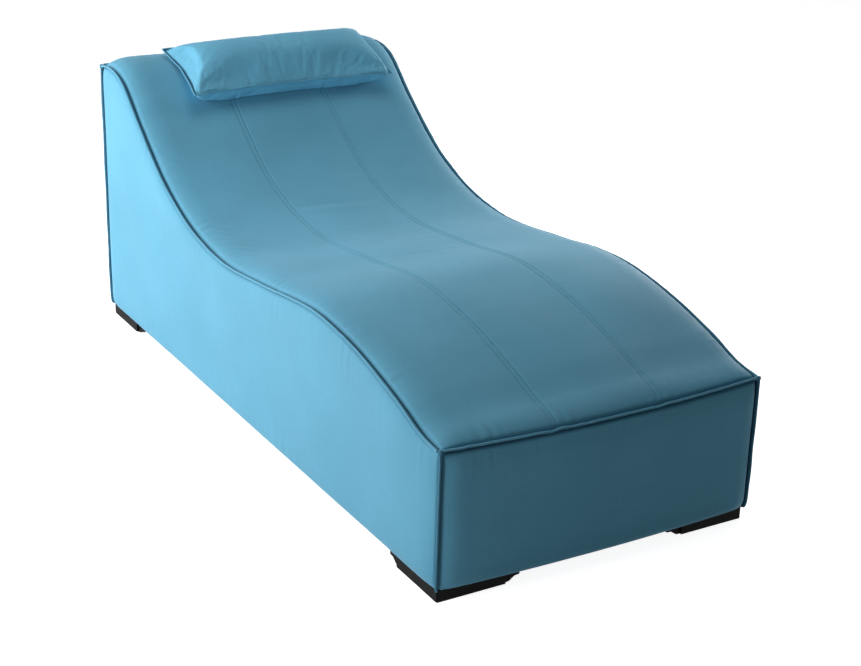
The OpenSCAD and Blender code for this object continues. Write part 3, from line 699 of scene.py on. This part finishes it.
def along_lines(name, draw_one, material):
    """Tree that repeats a small shape along lines, whose points hold which way is up."""
    tree = bpy.data.node_groups.new(name, "GeometryNodeTree")
    for way in ("INPUT", "OUTPUT"):
        tree.interface.new_socket("Geometry", in_out=way, socket_type="NodeSocketGeometry")
    for number in ("Pitch", "Unevenness", "Length", "Thickness"):
        tree.interface.new_socket(number, in_out="INPUT", socket_type="NodeSocketFloat")
    start = tree.nodes.new("NodeGroupInput")
    number = start.outputs
    curve = node(tree, "GeometryNodeMeshToCurve", {"Mesh": start})
    inputs = {"Curve": curve, "Length": number["Pitch"]}
    even = node(tree, "GeometryNodeResampleCurve", inputs, mode="LENGTH")
    up = node(tree, "GeometryNodeInputNamedAttribute", {"Name": "up"}, data_type="FLOAT_VECTOR")
    tangent = node(tree, "GeometryNodeInputTangent")
    along = node(tree, "FunctionNodeAlignRotationToVector", {"Vector": tangent}, axis="X")
    upright = node(
        tree, "FunctionNodeAlignRotationToVector", {"Rotation": along, "Vector": up},
        axis="Z", pivot_axis="X",
    )
    highest = number["Unevenness"]
    lowest = product(tree, highest, -1.0)
    chance = node(tree, "FunctionNodeRandomValue", {2: lowest, 3: highest, "Seed": 4})
    turn = node(tree, "ShaderNodeCombineXYZ", {"Z": chance.outputs[1]})
    spin = node(tree, "FunctionNodeEulerToRotation", {0: turn})
    turned = node(tree, "FunctionNodeRotateRotation", {0: upright, 1: spin}, rotation_space="LOCAL")
    size = node(
        tree, "ShaderNodeCombineXYZ",
        {"X": number["Length"], "Y": number["Thickness"], "Z": number["Thickness"]},
    )
    inputs = {"Points": even, "Instance": draw_one(tree, size), "Rotation": turned}
    placed = node(tree, "GeometryNodeInstanceOnPoints", inputs)
    real = node(tree, "GeometryNodeRealizeInstances", {0: placed})
    smooth = node(tree, "GeometryNodeSetShadeSmooth", {0: real})
    finished = node(tree, "GeometryNodeSetMaterial", {"Geometry": smooth, "Material": material})
    node(tree, "NodeGroupOutput", {0: finished})
    return tree


def draw_stitch(tree, size):
    """One stitch: a slim spindle of thread."""
    ball = node(tree, "GeometryNodeMeshUVSphere", {"Segments": 6, "Rings": 5, "Radius": 0.5})
    return node(tree, "GeometryNodeTransform", {"Geometry": ball, "Scale": size})


def draw_staple(tree, size):
    """The crown of one staple: a flat bar."""
    return node(tree, "GeometryNodeMeshCube", {"Size": size})


def repeat_along(name, lines, tree, **numbers):
    """Plain mesh of a tree's result along lines of (points, ways up)."""
    edges, first = [], 0
    for line, _ in lines:
        edges += [(first + i, first + i + 1) for i in range(len(line) - 1)]
        first += len(line)
    points, ups = (np.concatenate(each) for each in zip(*lines))
    mesh = new_mesh(name + "_lines", points, [], edges)
    write_attribute(mesh, "up", ups)
    carrier = add_piece(name + "_lines", mesh)
    modifier = carrier.modifiers.new(name, "NODES")
    modifier.node_group = tree
    for item in tree.interface.items_tree:
        key = item.name.lower()
        if item.in_out == "INPUT" and key in numbers:
            modifier[item.identifier] = numbers[key]
    bpy.context.view_layer.update()
    depsgraph = bpy.context.evaluated_depsgraph_get()
    made = bpy.data.meshes.new_from_object(carrier.evaluated_get(depsgraph))
    made.name = name
    bpy.data.objects.remove(carrier)
    return add_piece(name, made)


stitch_tree = along_lines("stitch_row", draw_stitch, thread)
staple_tree = along_lines("staple_row", draw_staple, zinc)


# Cushions of the lying surface

# Steps of the cushions' meshes, and how far from a seam the fine ones reach
RIM_STEP = 1.0 * MM
RIM_W = 8 * MM
EDGE_STEP = 2.5 * MM
LONG_STEP = 4.0 * MM
SEAM_STEP = 1.2 * MM
SEAM_SIDE_W = 14 * MM
rows_y = spaced(
    -HALF_L, RIM_STEP, -HALF_L + RIM_W, EDGE_STEP, -HALF_L + SHOULDER_W, LONG_STEP,
    HALF_L - SHOULDER_W, EDGE_STEP, HALF_L - RIM_W, RIM_STEP, HALF_L,
)
side_strip_x = spaced(
    -HALF_W, RIM_STEP, -HALF_W + RIM_W, EDGE_STEP, -HALF_W + SHOULDER_W, LONG_STEP,
    -STITCH_X - SEAM_SIDE_W, SEAM_STEP, -STITCH_X - SEWN_GAP / 2,
)
centre_strip_x = spaced(
    -STITCH_X + SEWN_GAP / 2, SEAM_STEP, -STITCH_X + SEAM_SIDE_W, LONG_STEP,
    STITCH_X - SEAM_SIDE_W, SEAM_STEP, STITCH_X - SEWN_GAP / 2,
)


def add_cushion(name, outer, inner, nodes):
    """A cushion of the lounger: its cloth outside, and its foam down to the inner grid."""
    piece = shell(name, outer, inner, cover_cloth)
    dress(piece, *nodes)


def top_cushion(name, columns, nodes):
    """A strip of the lying surface with its foam, down to the deck."""
    x, y = np.meshgrid(columns, rows_y)
    outer = surface_point(x, y, surface_relief(x, y))
    inner_x = x * (FRAME_X - LAY) / HALF_W
    inner_y = y * (FRAME_Y - LAY) / HALF_L
    z, way_y, way_z = profile_up(inner_y)
    depth = SEAT_FOAM_T - LAY
    inner_y = np.clip(inner_y - way_y * depth, -FRAME_Y, FRAME_Y)
    add_cushion(name, outer, xyz(inner_x, inner_y, z - way_z * depth), nodes)


top_cushion("top_cushion_left", side_strip_x, ["top_cover_left"])
top_cushion("top_cushion_centre", centre_strip_x, ["top_cover_centre", "seat_foam"])
top_cushion("top_cushion_right", -side_strip_x[::-1], ["top_cover_right"])


# Padded sides and ends

# Width of the calm strip at an upright corner, least share of the foam's depth at the seam, and
# how far the lining starts below it
CORNER_CALM_W = 0.04
WALL_SHARE = 0.22
LINING_DROP = 1.0 * MM


def side_rows(height):
    """Distances of a side's rows below its seam, finer near the seam and the bottom edge."""
    fine = 1 - np.cos(np.linspace(0, math.pi / 2, 14))[:-1]
    top = fine * SIDE_ROUND
    low = height - fine[::-1] * TUCK_H
    middle = np.linspace(top[-1], low[0], 52)[1:-1]
    return np.hstack([top, middle, low])


def side_relief(along, below, above, seed):
    """Small wrinkles of a padded side: pulls below the seam and above the hem."""
    settled = fade(below, SETTLE_MID_W) * fade(above, SETTLE_MID_W)
    broad = 1.6 * MM * waves(along, below, 0.42, 0.24, seed)
    pulls = seam_puckers(below, along, 0.55 * MM, 0.050, 0.022, seed + 1)
    tucks = seam_puckers(above, along, 0.9 * MM, 0.030, 0.055, seed + 2)
    return settled * broad + fade(below, 0.010) * pulls + tucks * settled


def padded_wall(
    name, nodes, facing, sign, shares, tops, bows, seed, swell=SWELL, shoulder=SHOULDER_W
):
    """A padded side or end with its hem turned under the frame.

    It faces an axis, 0 or 1, with a sign, and runs along the other at shares of the half size,
    with the height of its seam and the bow of its face at each.
    """
    (half_out, half), (frame_out, frame_half) = (
        (pair[facing], pair[1 - facing]) for pair in ((HALF_W, HALF_L), (FRAME_X, FRAME_Y))
    )
    outer, inner = [], []
    for share, top, bow in zip(shares, tops, bows):
        place, face = share * half, half_out + bow
        from_corner = half - abs(place)
        below = side_rows(top - HEM_Z)
        above = top - HEM_Z - below
        stands_out = side_swell(below, above, from_corner, swell, shoulder)
        relief = side_relief(place + 0 * below, below, above, seed)
        calm = fade(from_corner, CORNER_CALM_W)
        out = face + stands_out + relief * calm - pinch(below) - pinch(from_corner)
        at_corner = half + side_swell(below, above, 0)
        along = share * at_corner - np.sign(share) * (SEWN_GAP / 2 + pinch(from_corner))
        z = top - below - SEWN_GAP / 2 * (below == 0) - pinch(below)
        hem = np.array([half_out - HEM_W, share * (half - HEM_W), HEM_Z])
        outer.append(np.vstack([xyz(out, along, z), hem]))
        depth = fade(below, SEAT_FOAM_T)
        wall = face - (face - frame_out - LAY) * np.maximum(depth, WALL_SHARE)
        wall_along = share * (half - (half - frame_half - LAY) * depth)
        wall_z = np.maximum(z - LINING_DROP * (below < LINING_DROP), HEM_Z + COVER_T)
        inner.append(np.vstack([xyz(wall, wall_along, wall_z), hem + [0, 0, COVER_T]]))
    places = np.array([outer, inner])
    places[..., 0] *= sign
    if facing:
        places = places[..., [1, 0, 2]]
    add_cushion(name, *places, nodes)


SIDE_SHARES = spaced(-1, 0.0012, -0.99, 0.003, -0.94, 0.006, 0.94, 0.003, 0.99, 0.0012, 1)
for side, name in ((-1, "left"), (1, "right")):
    nodes = [f"side_cover_{name}", f"side_foam_{name}"]
    tops = profile(SIDE_SHARES * HALF_L)[0]
    padded_wall(f"side_cushion_{name}", nodes, 0, side, SIDE_SHARES, tops, 0 * tops, 30 + side)
END_SHARES = spaced(-1, 0.003, -0.98, 0.007, -0.86, 0.011, 0.86, 0.007, 0.98, 0.003, 1)
END_BOWS = across(END_SHARES * HALF_W)
for end, name in ((-1, "foot_end"), (1, "head_end")):
    nodes = [f"{name}_cover", f"{name}_foam"]
    tops = end_height(end) - END_SAG * END_BOWS
    padded_wall(
        name + "_cushion", nodes, 1, end, END_SHARES, tops, END_BOW * END_BOWS, 50 + end,
        END_SWELL, END_SHOULDER_W,
    )


# Standing flanges of the seams

FLANGE_ROUND = 9
FLANGE_ROOT = 0.0036


def flange_section(width, thickness, root):
    """Outline of a flange, as (reach, side) pairs: a thin sewn root and a thick folded edge."""
    half = thickness / 2
    angle = np.linspace(-math.pi / 2, math.pi / 2, FLANGE_ROUND)
    tip = np.stack([width - half + half * np.cos(angle), half * np.sin(angle)], -1)
    low = np.array([[-root, -0.15], [0, -0.25], [0.17 * width, -0.38], [0.40 * width, -0.82]])
    low[:, 1] *= half
    return np.vstack([low, tip, low[::-1] * [1, -1]])


def flange(
    name, path, out, seed, width=FLANGE_W, thickness=FLANGE_T, root=FLANGE_ROOT, lean=1.0,
    closed=False, cloth=flange_cloth_painted_shade,
):
    """A standing flange along a path, leaning a little from side to side as cloth does."""
    ring = np.vstack([path[-1:], path, path[:1]]) if closed else path
    tangent = np.gradient(ring, axis=0)
    across_way = unit(np.cross(out, tangent[1:-1] if closed else tangent))
    s = run_lengths(path)
    ends = fade(s, SETTLE_MID_W) * fade(s[-1] - s, SETTLE_MID_W)
    lean = lean * ends * (
        0.07 * waves(s, 0 * s, 0.16, 1, seed) + 0.05 * puckers(s, 0.045, seed + 1)
    )
    reach = 1 + 0.05 * waves(s, 0 * s, 0.10, 1, seed + 2)
    section = flange_section(width, thickness, root)
    r = section[:, 0] * reach[:, None]
    side = section[:, 1] + lean[:, None] * r**2 / width
    rings = path[:, None] + out[:, None] * r[..., None] + across_way[:, None] * side[..., None]
    from_root = np.tile(section[:, 0], len(s))
    uv = np.stack([from_root, np.repeat(s, len(section))], -1)
    # The share from root to folded edge darkens the cloth near the root: painted shade.
    return tube(name, rings, uv, fade(from_root, width), cloth, 60, closed)


def join_pieces(name, pieces):
    """One piece made of several meshes."""
    work = bmesh.new()
    for piece in pieces:
        work.from_mesh(piece.data)
    mesh = pieces[0].data.copy()
    mesh.name = name
    work.to_mesh(mesh)
    work.free()
    for piece in pieces:
        bpy.data.objects.remove(piece)
    return add_object(name, mesh)


DIAGONAL = math.sqrt(0.5)
KINK = 0.003
EDGE_LEAN = math.radians(18)


def edge_path(side):
    """Line of a long edge seam and its outward way."""
    y = spaced(-HALF_L + FLANGE_TRIM, LONG_STEP, HALF_L - FLANGE_TRIM)
    z, way_y, way_z = profile_up(y)
    up = math.sin(EDGE_LEAN)
    out = xyz(side * math.cos(EDGE_LEAN), way_y * up, way_z * up)
    return xyz(side * HALF_W, y, z), out


def end_path(end):
    """Line of an end seam and its outward way. The bulk of each sewn seam bends it a little."""
    x = spaced(-HALF_W + FLANGE_TRIM, LONG_STEP, HALF_W - FLANGE_TRIM)
    z = end_height(end) - END_SAG * across(x)
    for seam, share in ((-STITCH_X, 1.0), (STITCH_X, 0.4)):
        near = (x - seam) / 0.012
        z = z + KINK * share * near * np.exp(-(near**2) / 2)
    return xyz(x, end * (HALF_L + END_BOW * across(x)), z), DIAGONAL * xyz(0 * x, end, 1)


def corner_path(side, end):
    """Line of an upright corner seam and its outward way."""
    top = end_height(end)
    below = spaced(FLANGE_TRIM, LONG_STEP, top - HEM_Z)
    swell = side_swell(below, top - HEM_Z - below, 0)
    path = xyz(side * (HALF_W + swell), end * (HALF_L + swell), top - below)
    return path, DIAGONAL * xyz(side, end, 0 * below)


# Knob at a top corner: places outwards and up, half sizes, lean, rings, and its share of painted
# shade
NIB_OUT = 4.2 * MM
NIB_UP = 0.8 * MM
NIB_HALF = (5.2 * MM, 4.6 * MM, 6.0 * MM)
NIB_LEAN = 0.8 * MM
NIB_COUNTS = (14, 9)
NIB_PAINTED_SHADE_SHARE = 0.8


def rounded(angle, wave):
    """A circle's sine or cosine, drawn out towards a square."""
    return np.sign(wave(angle)) * np.abs(wave(angle)) ** 0.6


def nib(name, side, end):
    """Small folded knob where the three flanges of a top corner meet."""
    angle, height = np.meshgrid(
        np.linspace(0, math.tau, NIB_COUNTS[0], endpoint=False), np.linspace(-1, 1, NIB_COUNTS[1])
    )
    girth = (1 - np.abs(height) ** 4) ** 0.5 * 0.98 + 0.02
    out = DIAGONAL * np.array([side, end, 0])
    over = DIAGONAL * np.array([-end, side, 0])
    corner = np.array([side * HALF_W, end * HALF_L, end_height(end)])
    centre = corner + out * NIB_OUT + [0, 0, NIB_UP]
    rings = (
        centre
        + (girth * rounded(angle, np.cos))[..., None] * out * NIB_HALF[0]
        + (girth * rounded(angle, np.sin))[..., None] * over * NIB_HALF[1]
        + height[..., None] * (np.array([0, 0, NIB_HALF[2]]) + out * NIB_LEAN)
    )
    uv = np.stack([angle.ravel() * 4 * MM, height.ravel() * 5 * MM], -1)
    return tube(name, rings, uv, np.full(angle.size, NIB_PAINTED_SHADE_SHARE), corner_cloth_painted_shade, 70)


for name, line, seed in (
    ("edge_seam_left", edge_path(-1), 59), ("edge_seam_right", edge_path(1), 61),
    ("foot_end_seam", end_path(-1), 69), ("head_end_seam", end_path(1), 71),
):
    dress(flange(name + "_flange", *line, seed), name)
corners = [(side, end) for side in (-1, 1) for end in (-1, 1)]
corner_pieces = [
    flange(f"corner_{a}_{b}", *corner_path(a, b), 80 + 3 * a + b, cloth=corner_cloth_painted_shade)
    for a, b in corners
] + [nib(f"nib_{a}_{b}", a, b) for a, b in corners]
dress(join_pieces("corner_seam_flanges", corner_pieces), "corner_seams")


# Sewing


def surface_line(x, low, high):
    """Line on the lying surface at a place across it, and its way up."""
    y = spaced(low, LONG_STEP, high)
    points = surface_point(x + 0 * y, y, surface_relief(x + 0 * y, y) + 0.1 * MM)
    return points, xyz(0, *profile_up(y)[1:])


seam_rows = [
    surface_line(side * (STITCH_X + row * STITCH_ROW), -HALF_L + 0.006, HALF_L - 0.006)
    for side in (-1, 1) for row in (-1, 1)
]


def flange_stitch_lines(path, out, offset=0.0):
    """The two lines of stitches at the root of a flange."""
    side_way = unit(np.cross(out, np.gradient(path, axis=0)))
    return [
        (path + out * 2.6 * MM + way * side_way * (1.45 * MM + offset), way * side_way)
        for way in (-1, 1)
    ]


flange_rows = [
    row
    for side in (-1, 1)
    for line in (edge_path(side), end_path(side), corner_path(side, -1), corner_path(side, 1))
    for row in flange_stitch_lines(*line)
]
for name, rows in (("seam_stitches", seam_rows), ("flange_stitches", flange_rows)):
    dress(repeat_along(
        name, rows, stitch_tree,
        pitch=4.2 * MM, length=3.3 * MM, thickness=0.7 * MM, unevenness=0.06,
    ))


# Pillow

PILLOW_MID_Y = (PILLOW_MID_SHARE - 0.5) * BODY_L
front_rest, back_rest = (
    surface_point(PILLOW_X, PILLOW_MID_Y + way * PILLOW_D * PILLOW_RUN_SHARE / 2) for way in (-1, 1)
)
tilt = math.atan2(back_rest[2] - front_rest[2], back_rest[1] - front_rest[1]) - math.asin(
    (PILLOW_FRONT_LIFT - PILLOW_BACK_LIFT) / PILLOW_D
)
PILLOW_UP = np.array([0, -math.sin(tilt), math.cos(tilt)])
PILLOW_ALONG = np.array([0, math.cos(tilt), math.sin(tilt)])
PILLOW_CENTRE = (front_rest + back_rest) / 2 + PILLOW_UP * (
    (PILLOW_FRONT_LIFT + PILLOW_BACK_LIFT) / 2
)


def fullness(u, v):
    """Share of the full height of the pillow, nothing at its seam."""
    return np.sqrt(np.maximum(0, 1 - u**4)) * np.sqrt(np.maximum(0, 1 - v**2))


def pillow_point(u, v, h):
    """Point of the pillow at a height over its seam plane."""
    a = u * (PILLOW_W / 2 - PILLOW_DRAW * (1 - v**2))
    b = v * (PILLOW_D / 2 - PILLOW_DRAW * (1 - u**2))
    return PILLOW_CENTRE + xyz(a, 0, 0) + b[..., None] * PILLOW_ALONG + h[..., None] * PILLOW_UP


def keep_off_surface(points, gap):
    """Pushes points up to stay a gap over the lying surface."""
    short = surface_height(points[..., 0], points[..., 1]) + gap - points[..., 2]
    return points + xyz(0, 0, np.maximum(short, 0))


# Folds of the pillow, in mm: from and to along its width and depth, then width and height
PILLOW_FOLDS = MM * np.array([
    (-266, -94, -150, -40, 5, 1.9),
    (-268, -75, -165, 5, 4.8, 1.6),
    (-266, -50, -185, 30, 4.6, 1.3),
    (-262, 88, -165, 35, 5, 1.6),
    (266, -94, 160, -35, 5, 1.8),
    (268, -70, 185, 10, 4.8, 1.4),
    (262, 88, 165, 30, 5, 1.6),
    (-95, -100, -85, -40, 3.4, 1.2),
    (-60, -101, -48, -35, 3.6, 1.5),
    (-22, -101, -20, -50, 3.2, 1.1),
    (12, -101, 20, -30, 3.6, 1.5),
    (48, -101, 46, -45, 3.2, 1.2),
    (82, -100, 90, -35, 3.6, 1.4),
    (118, -100, 112, -50, 3.2, 1),
])


def pillow_relief(u, v):
    """Small wrinkles of the pillow: puckers at its seam and folds from its corners."""
    a, b = u * PILLOW_W / 2, v * PILLOW_D / 2
    from_long, from_short = (1 - np.abs(v)) * PILLOW_D / 2, (1 - np.abs(u)) * PILLOW_W / 2
    settled = fade(from_long, 0.004) * fade(from_short, 0.004)
    at_long = seam_puckers(from_long, a, 0.6 * MM, 0.014, 0.015, 41)
    at_short = seam_puckers(from_short, b, 0.9 * MM, 0.018, 0.018, 43)
    broad = 0.8 * MM * waves(a, b, 0.16, 0.09, 45)
    folds = 0.7 * sum(fold(a, b, *each) for each in PILLOW_FOLDS)
    return settled * (at_long + at_short + broad + folds)


def pillow_form():
    """Closed pillow of two panels that share their seam, a little slack for swelling."""
    even = np.linspace(-1, 1, PILLOW_COLUMNS)
    u = 0.6 * even + 0.4 * np.sin(even * math.pi / 2)
    v = np.sin(np.linspace(-math.pi / 2, math.pi / 2, PILLOW_ROWS))
    uu, vv = np.meshgrid(u, v)
    uu[:, 0], uu[:, -1], vv[0], vv[-1] = -1, 1, -1, 1
    full = fullness(np.abs(uu) ** 1.8, vv)
    top = pillow_point(uu, vv, 0.88 * PILLOW_RISE * full)
    full_under = fullness(np.abs(uu) ** 1.8, np.abs(vv) ** 1.5)
    under = keep_off_surface(pillow_point(uu, vv, -0.97 * PILLOW_UNDER * full_under), 2 * MM)
    number = point_numbers(top)
    below = number.copy()
    below[1:-1, 1:-1] += number.size
    used, faces = np.unique(
        np.concatenate([quads(number), quads(below[:, ::-1])]), return_inverse=True
    )
    points = np.concatenate([top, under]).reshape(-1, 3)[used]
    at_seam = np.isin(used, np.intersect1d(number, below))
    uv = np.concatenate([cloth_uv(top), cloth_uv(under) + [0, 0.5]])[used]
    relief = np.tile(pillow_relief(uu, vv).ravel(), 2)[used]
    return points, faces.reshape(-1, 4), at_seam, uv, relief


# The cloth that swells the pillow, its frames and the most that a point may travel
CLOTH_SETTINGS = {
    "quality": 6, "mass": 0.25, "tension_stiffness": 18, "compression_stiffness": 14,
    "shear_stiffness": 6, "bending_stiffness": 0.25, "use_pressure": True,
    "uniform_pressure_force": 4.0, "shrink_min": -0.025, "vertex_group_mass": "held",
}
SWELL_FRAMES = 9
SWELL_CAP = 16 * MM


def swell_cloth(piece, held):
    """Runs a cloth under pressure and keeps its shape, with each point's travel capped."""
    start = np.array([v.co for v in piece.data.vertices])
    group = piece.vertex_groups.new(name="held")
    group.add(np.flatnonzero(held).tolist(), 1.0, "REPLACE")
    cloth = piece.modifiers.new("swell", "CLOTH")
    for key, value in CLOTH_SETTINGS.items():
        setattr(cloth.settings, key, value)
    cloth.settings.effector_weights.gravity = 0
    cloth.collision_settings.use_collision = False
    scene = bpy.context.scene
    for number in range(1, SWELL_FRAMES + 1):
        scene.frame_set(number)
    shown = piece.evaluated_get(bpy.context.evaluated_depsgraph_get())
    moved = np.array([v.co for v in shown.data.vertices])
    piece.modifiers.remove(cloth)
    piece.vertex_groups.clear()
    scene.frame_set(1)
    travel = moved - start
    length = np.linalg.norm(travel, axis=1)[:, None]
    return start + travel * np.minimum(1, SWELL_CAP / np.maximum(length, 1e-9))


def move_points(mesh, points):
    """Gives the points of a mesh new places."""
    mesh.vertices.foreach_set("co", points.astype(np.float32).ravel())
    mesh.update()


points, faces, at_seam, uv, relief = pillow_form()
pillow_mesh = cloth_mesh("pillow", points, faces.tolist(), uv, 80)
pillow = add_piece("pillow", pillow_mesh, pillow_cloth_painted_light)
points = swell_cloth(pillow, at_seam)
move_points(pillow_mesh, points)
normals = np.zeros(len(points) * 3, np.float32)
pillow_mesh.vertices.foreach_get("normal", normals)
points = points + relief[:, None] * normals.reshape(-1, 3)
over_seam = (points - PILLOW_CENTRE) @ PILLOW_UP
points = np.where((over_seam < 0)[:, None], keep_off_surface(points, 1.5 * MM), points)
# Share of the under panel, which the pillow's material paints lighter: painted light.
write_attribute(pillow_mesh, "edge", fade(-over_seam, 4 * MM))
move_points(pillow_mesh, points)
smooth = pillow.modifiers.new("smooth", "SUBSURF")
smooth.levels = smooth.render_levels = 1
dress(pillow, "pillow_top_panel", "pillow_under_panel", "pillow_filling", body="pillow")


def pillow_seam():
    """Line of the pillow's seam and its outward way, wavy as soft cloth is."""
    side_u = np.linspace(-1, 1, 130)[:-1]
    side_v = np.linspace(-1, 1, 52)[:-1]
    u = np.hstack([side_u, 1 + 0 * side_v, -side_u, -1 + 0 * side_v])
    v = np.hstack([-1 + 0 * side_u, side_v, 1 + 0 * side_u, -side_v])
    path = pillow_point(u, v, 0 * u)
    pull = np.roll(path, -3, axis=0) - np.roll(path, 3, axis=0)
    out = np.cross(pull, PILLOW_UP)
    out = unit(sum(np.roll(out, k, axis=0) for k in range(-3, 4)))
    s = np.arange(len(u)) * 4.2 * MM
    raised = np.where(v == -1, 0.62, 0.15)
    raised = sum(np.roll(raised, k) for k in range(-6, 7)) / 13
    drop = raised + 0.25 * waves(s, 0 * s, 0.09, 1, 95)
    out = out + drop[:, None] * PILLOW_UP
    return path - PILLOW_SEW_IN * out, unit(out)


seam_path, seam_out = pillow_seam()
pillow_flange = flange(
    "pillow_flange", seam_path, seam_out, 97, width=PILLOW_FLANGE + PILLOW_SEW_IN,
    thickness=PILLOW_FLANGE_T, root=0.0, lean=0.8, closed=True, cloth=pillow_flange_painted_light_and_shade,
)
dress(pillow_flange, body="pillow")
pillow_stitches = repeat_along(
    "pillow_stitches",
    flange_stitch_lines(seam_path + seam_out * 1.2 * MM, seam_out, -0.55 * MM),
    stitch_tree, pitch=3.6 * MM, length=2.8 * MM, thickness=0.6 * MM, unevenness=0.06,
)
dress(pillow_stitches, body="pillow")


# Dust cover and staples


def dust_sheet():
    """Dust cover pulled tight under the frame, with a slight sag between the feet."""
    x, y = np.meshgrid(
        np.linspace(DUST_LOW.x, DUST_HIGH.x, 60), np.linspace(DUST_LOW.y, DUST_HIGH.y, 130)
    )
    free = fade(DUST_HIGH.y - 0.22 - np.abs(y), 0.15) ** 0.7
    free = free * (1 - (x / DUST_HIGH.x) ** 2)
    sag = free * (3 * MM + 0.5 * MM * waves(x, y, 0.2, 0.3, 91))
    low = xyz(x, y, DUST_LOW.z - sag)
    return shell("dust_sheet", low, low + [0, 0, DUST_HIGH.z - DUST_LOW.z], dust_cloth, 60)


dust = dust_sheet()
dress(dust, "dust_cover", slot="dust_fabric")


# Staples: distance from the cloth's edge, from its corners, and below the cloth
STAPLE_INSET = 9 * MM
STAPLE_TRIM = 30 * MM
STAPLE_SINK = 0.3 * MM


def staple_lines():
    """Lines of staples that hold the dust cover's edges, all facing down."""
    x = (DUST_LOW.x + STAPLE_INSET, DUST_HIGH.x - STAPLE_INSET)
    y = (DUST_LOW.y + STAPLE_INSET, DUST_HIGH.y - STAPLE_INSET)
    down = np.array([[0, 0, -1.0]] * 2)
    lines = []
    for corner_pair in (((0, 0), (0, 1)), ((1, 0), (1, 1)), ((0, 0), (1, 0)), ((0, 1), (1, 1))):
        start, stop = (np.array([x[i], y[j], DUST_LOW.z - STAPLE_SINK]) for i, j in corner_pair)
        trim = unit(stop - start) * STAPLE_TRIM
        lines.append((np.array([start + trim, stop - trim]), down))
    return lines


staples = repeat_along(
    "dust_cover_staples", staple_lines(), staple_tree,
    pitch=62 * MM, length=10 * MM, thickness=0.7 * MM, unevenness=0.25,
)
dress(staples, slot="zinc_steel")


# Camera, lamps and floor


def add_camera():
    """The photo's camera, as fitted to the lounger's corners and seams."""
    data = bpy.data.cameras.new("camera")
    data.lens = 73.75
    data.sensor_width = 36
    turned = Matrix(
        ((0.86292, 0.16897, -0.47624), (-0.50462, 0.33812, -0.79437), (0.0268, 0.92581, 0.37704))
    )
    camera = add_object("camera", data)
    camera.matrix_world = Matrix.Translation((-1.9032, -3.3491, 1.75147)) @ turned.to_4x4()
    bpy.context.scene.camera = camera


def add_softbox(name, place, target, power, size=1.4):
    """A square lamp that shines from a place to a target."""
    data = bpy.data.lights.new(name, "AREA")
    data.size = size
    data.energy = power
    lamp = add_object(name, data)
    lamp.location = place
    lamp.visible_camera = False
    lamp.rotation_euler = (Vector(target) - Vector(place)).to_track_quat("-Z", "Y").to_euler()


def choose_for_eye(tree, kind, plain, seen):
    """Shows the eye, and glossy surfaces, another shader than the one that gives light."""
    path = node(tree, "ShaderNodeLightPath").outputs
    inputs = {0: path["Is Camera Ray"], 1: path["Is Glossy Ray"]}
    to_eye = node(tree, "ShaderNodeMath", inputs, operation="MAXIMUM")
    chosen = node(tree, "ShaderNodeMixShader", {0: to_eye, 1: plain, 2: seen})
    node(tree, kind, {"Surface": chosen})


def glowing(tree, kind, strength):
    """A white light."""
    return node(tree, kind, {"Color": (1, 1, 1, 1), "Strength": strength})


def add_floor():
    """Pale floor: white where the camera sees it lit, with the object's shadow kept."""
    material = bpy.data.materials.new("floor")
    tree = empty_tree(material)
    base = node(tree, "ShaderNodeBsdfDiffuse", {"Color": (0.8, 0.8, 0.8, 1)})
    glow = glowing(tree, "ShaderNodeEmission", 0.90)
    both = node(tree, "ShaderNodeAddShader", {0: base, 1: glow})
    choose_for_eye(tree, "ShaderNodeOutputMaterial", base, both)
    corners = [(-20, -20, 0), (20, -20, 0), (20, 20, 0), (-20, 20, 0)]
    add_piece("floor", new_mesh("floor", corners, [(0, 1, 2, 3)]), material)


def set_world():
    """Even pale surroundings: white to the eye, soft as a light."""
    world = bpy.data.worlds.new("surroundings")
    tree = empty_tree(world)
    soft = glowing(tree, "ShaderNodeBackground", 0.10)
    white = glowing(tree, "ShaderNodeBackground", 1.0)
    choose_for_eye(tree, "ShaderNodeOutputWorld", soft, white)
    bpy.context.scene.world = world


add_camera()
add_softbox("key_head", (-1.6, 1.2, 0.9), (-0.1, 0.4, 0.3), 33)
add_softbox("key_middle", (-2.1, -0.3, 1.05), (-0.1, 0, 0.3), 15)
add_softbox("key_foot", (-1.9, -0.92, 1), (-0.385, -0.87, 0.30), 6, size=0.8)
add_softbox("fill", (2.2, 1, 0.9), (0, 0.3, 0.5), 43)
add_softbox("top", (0, 0.2, 2.6), (0, 0.2, 0.4), 14)
add_floor()
set_world()
bpy.context.scene.view_settings.view_transform = "Standard"
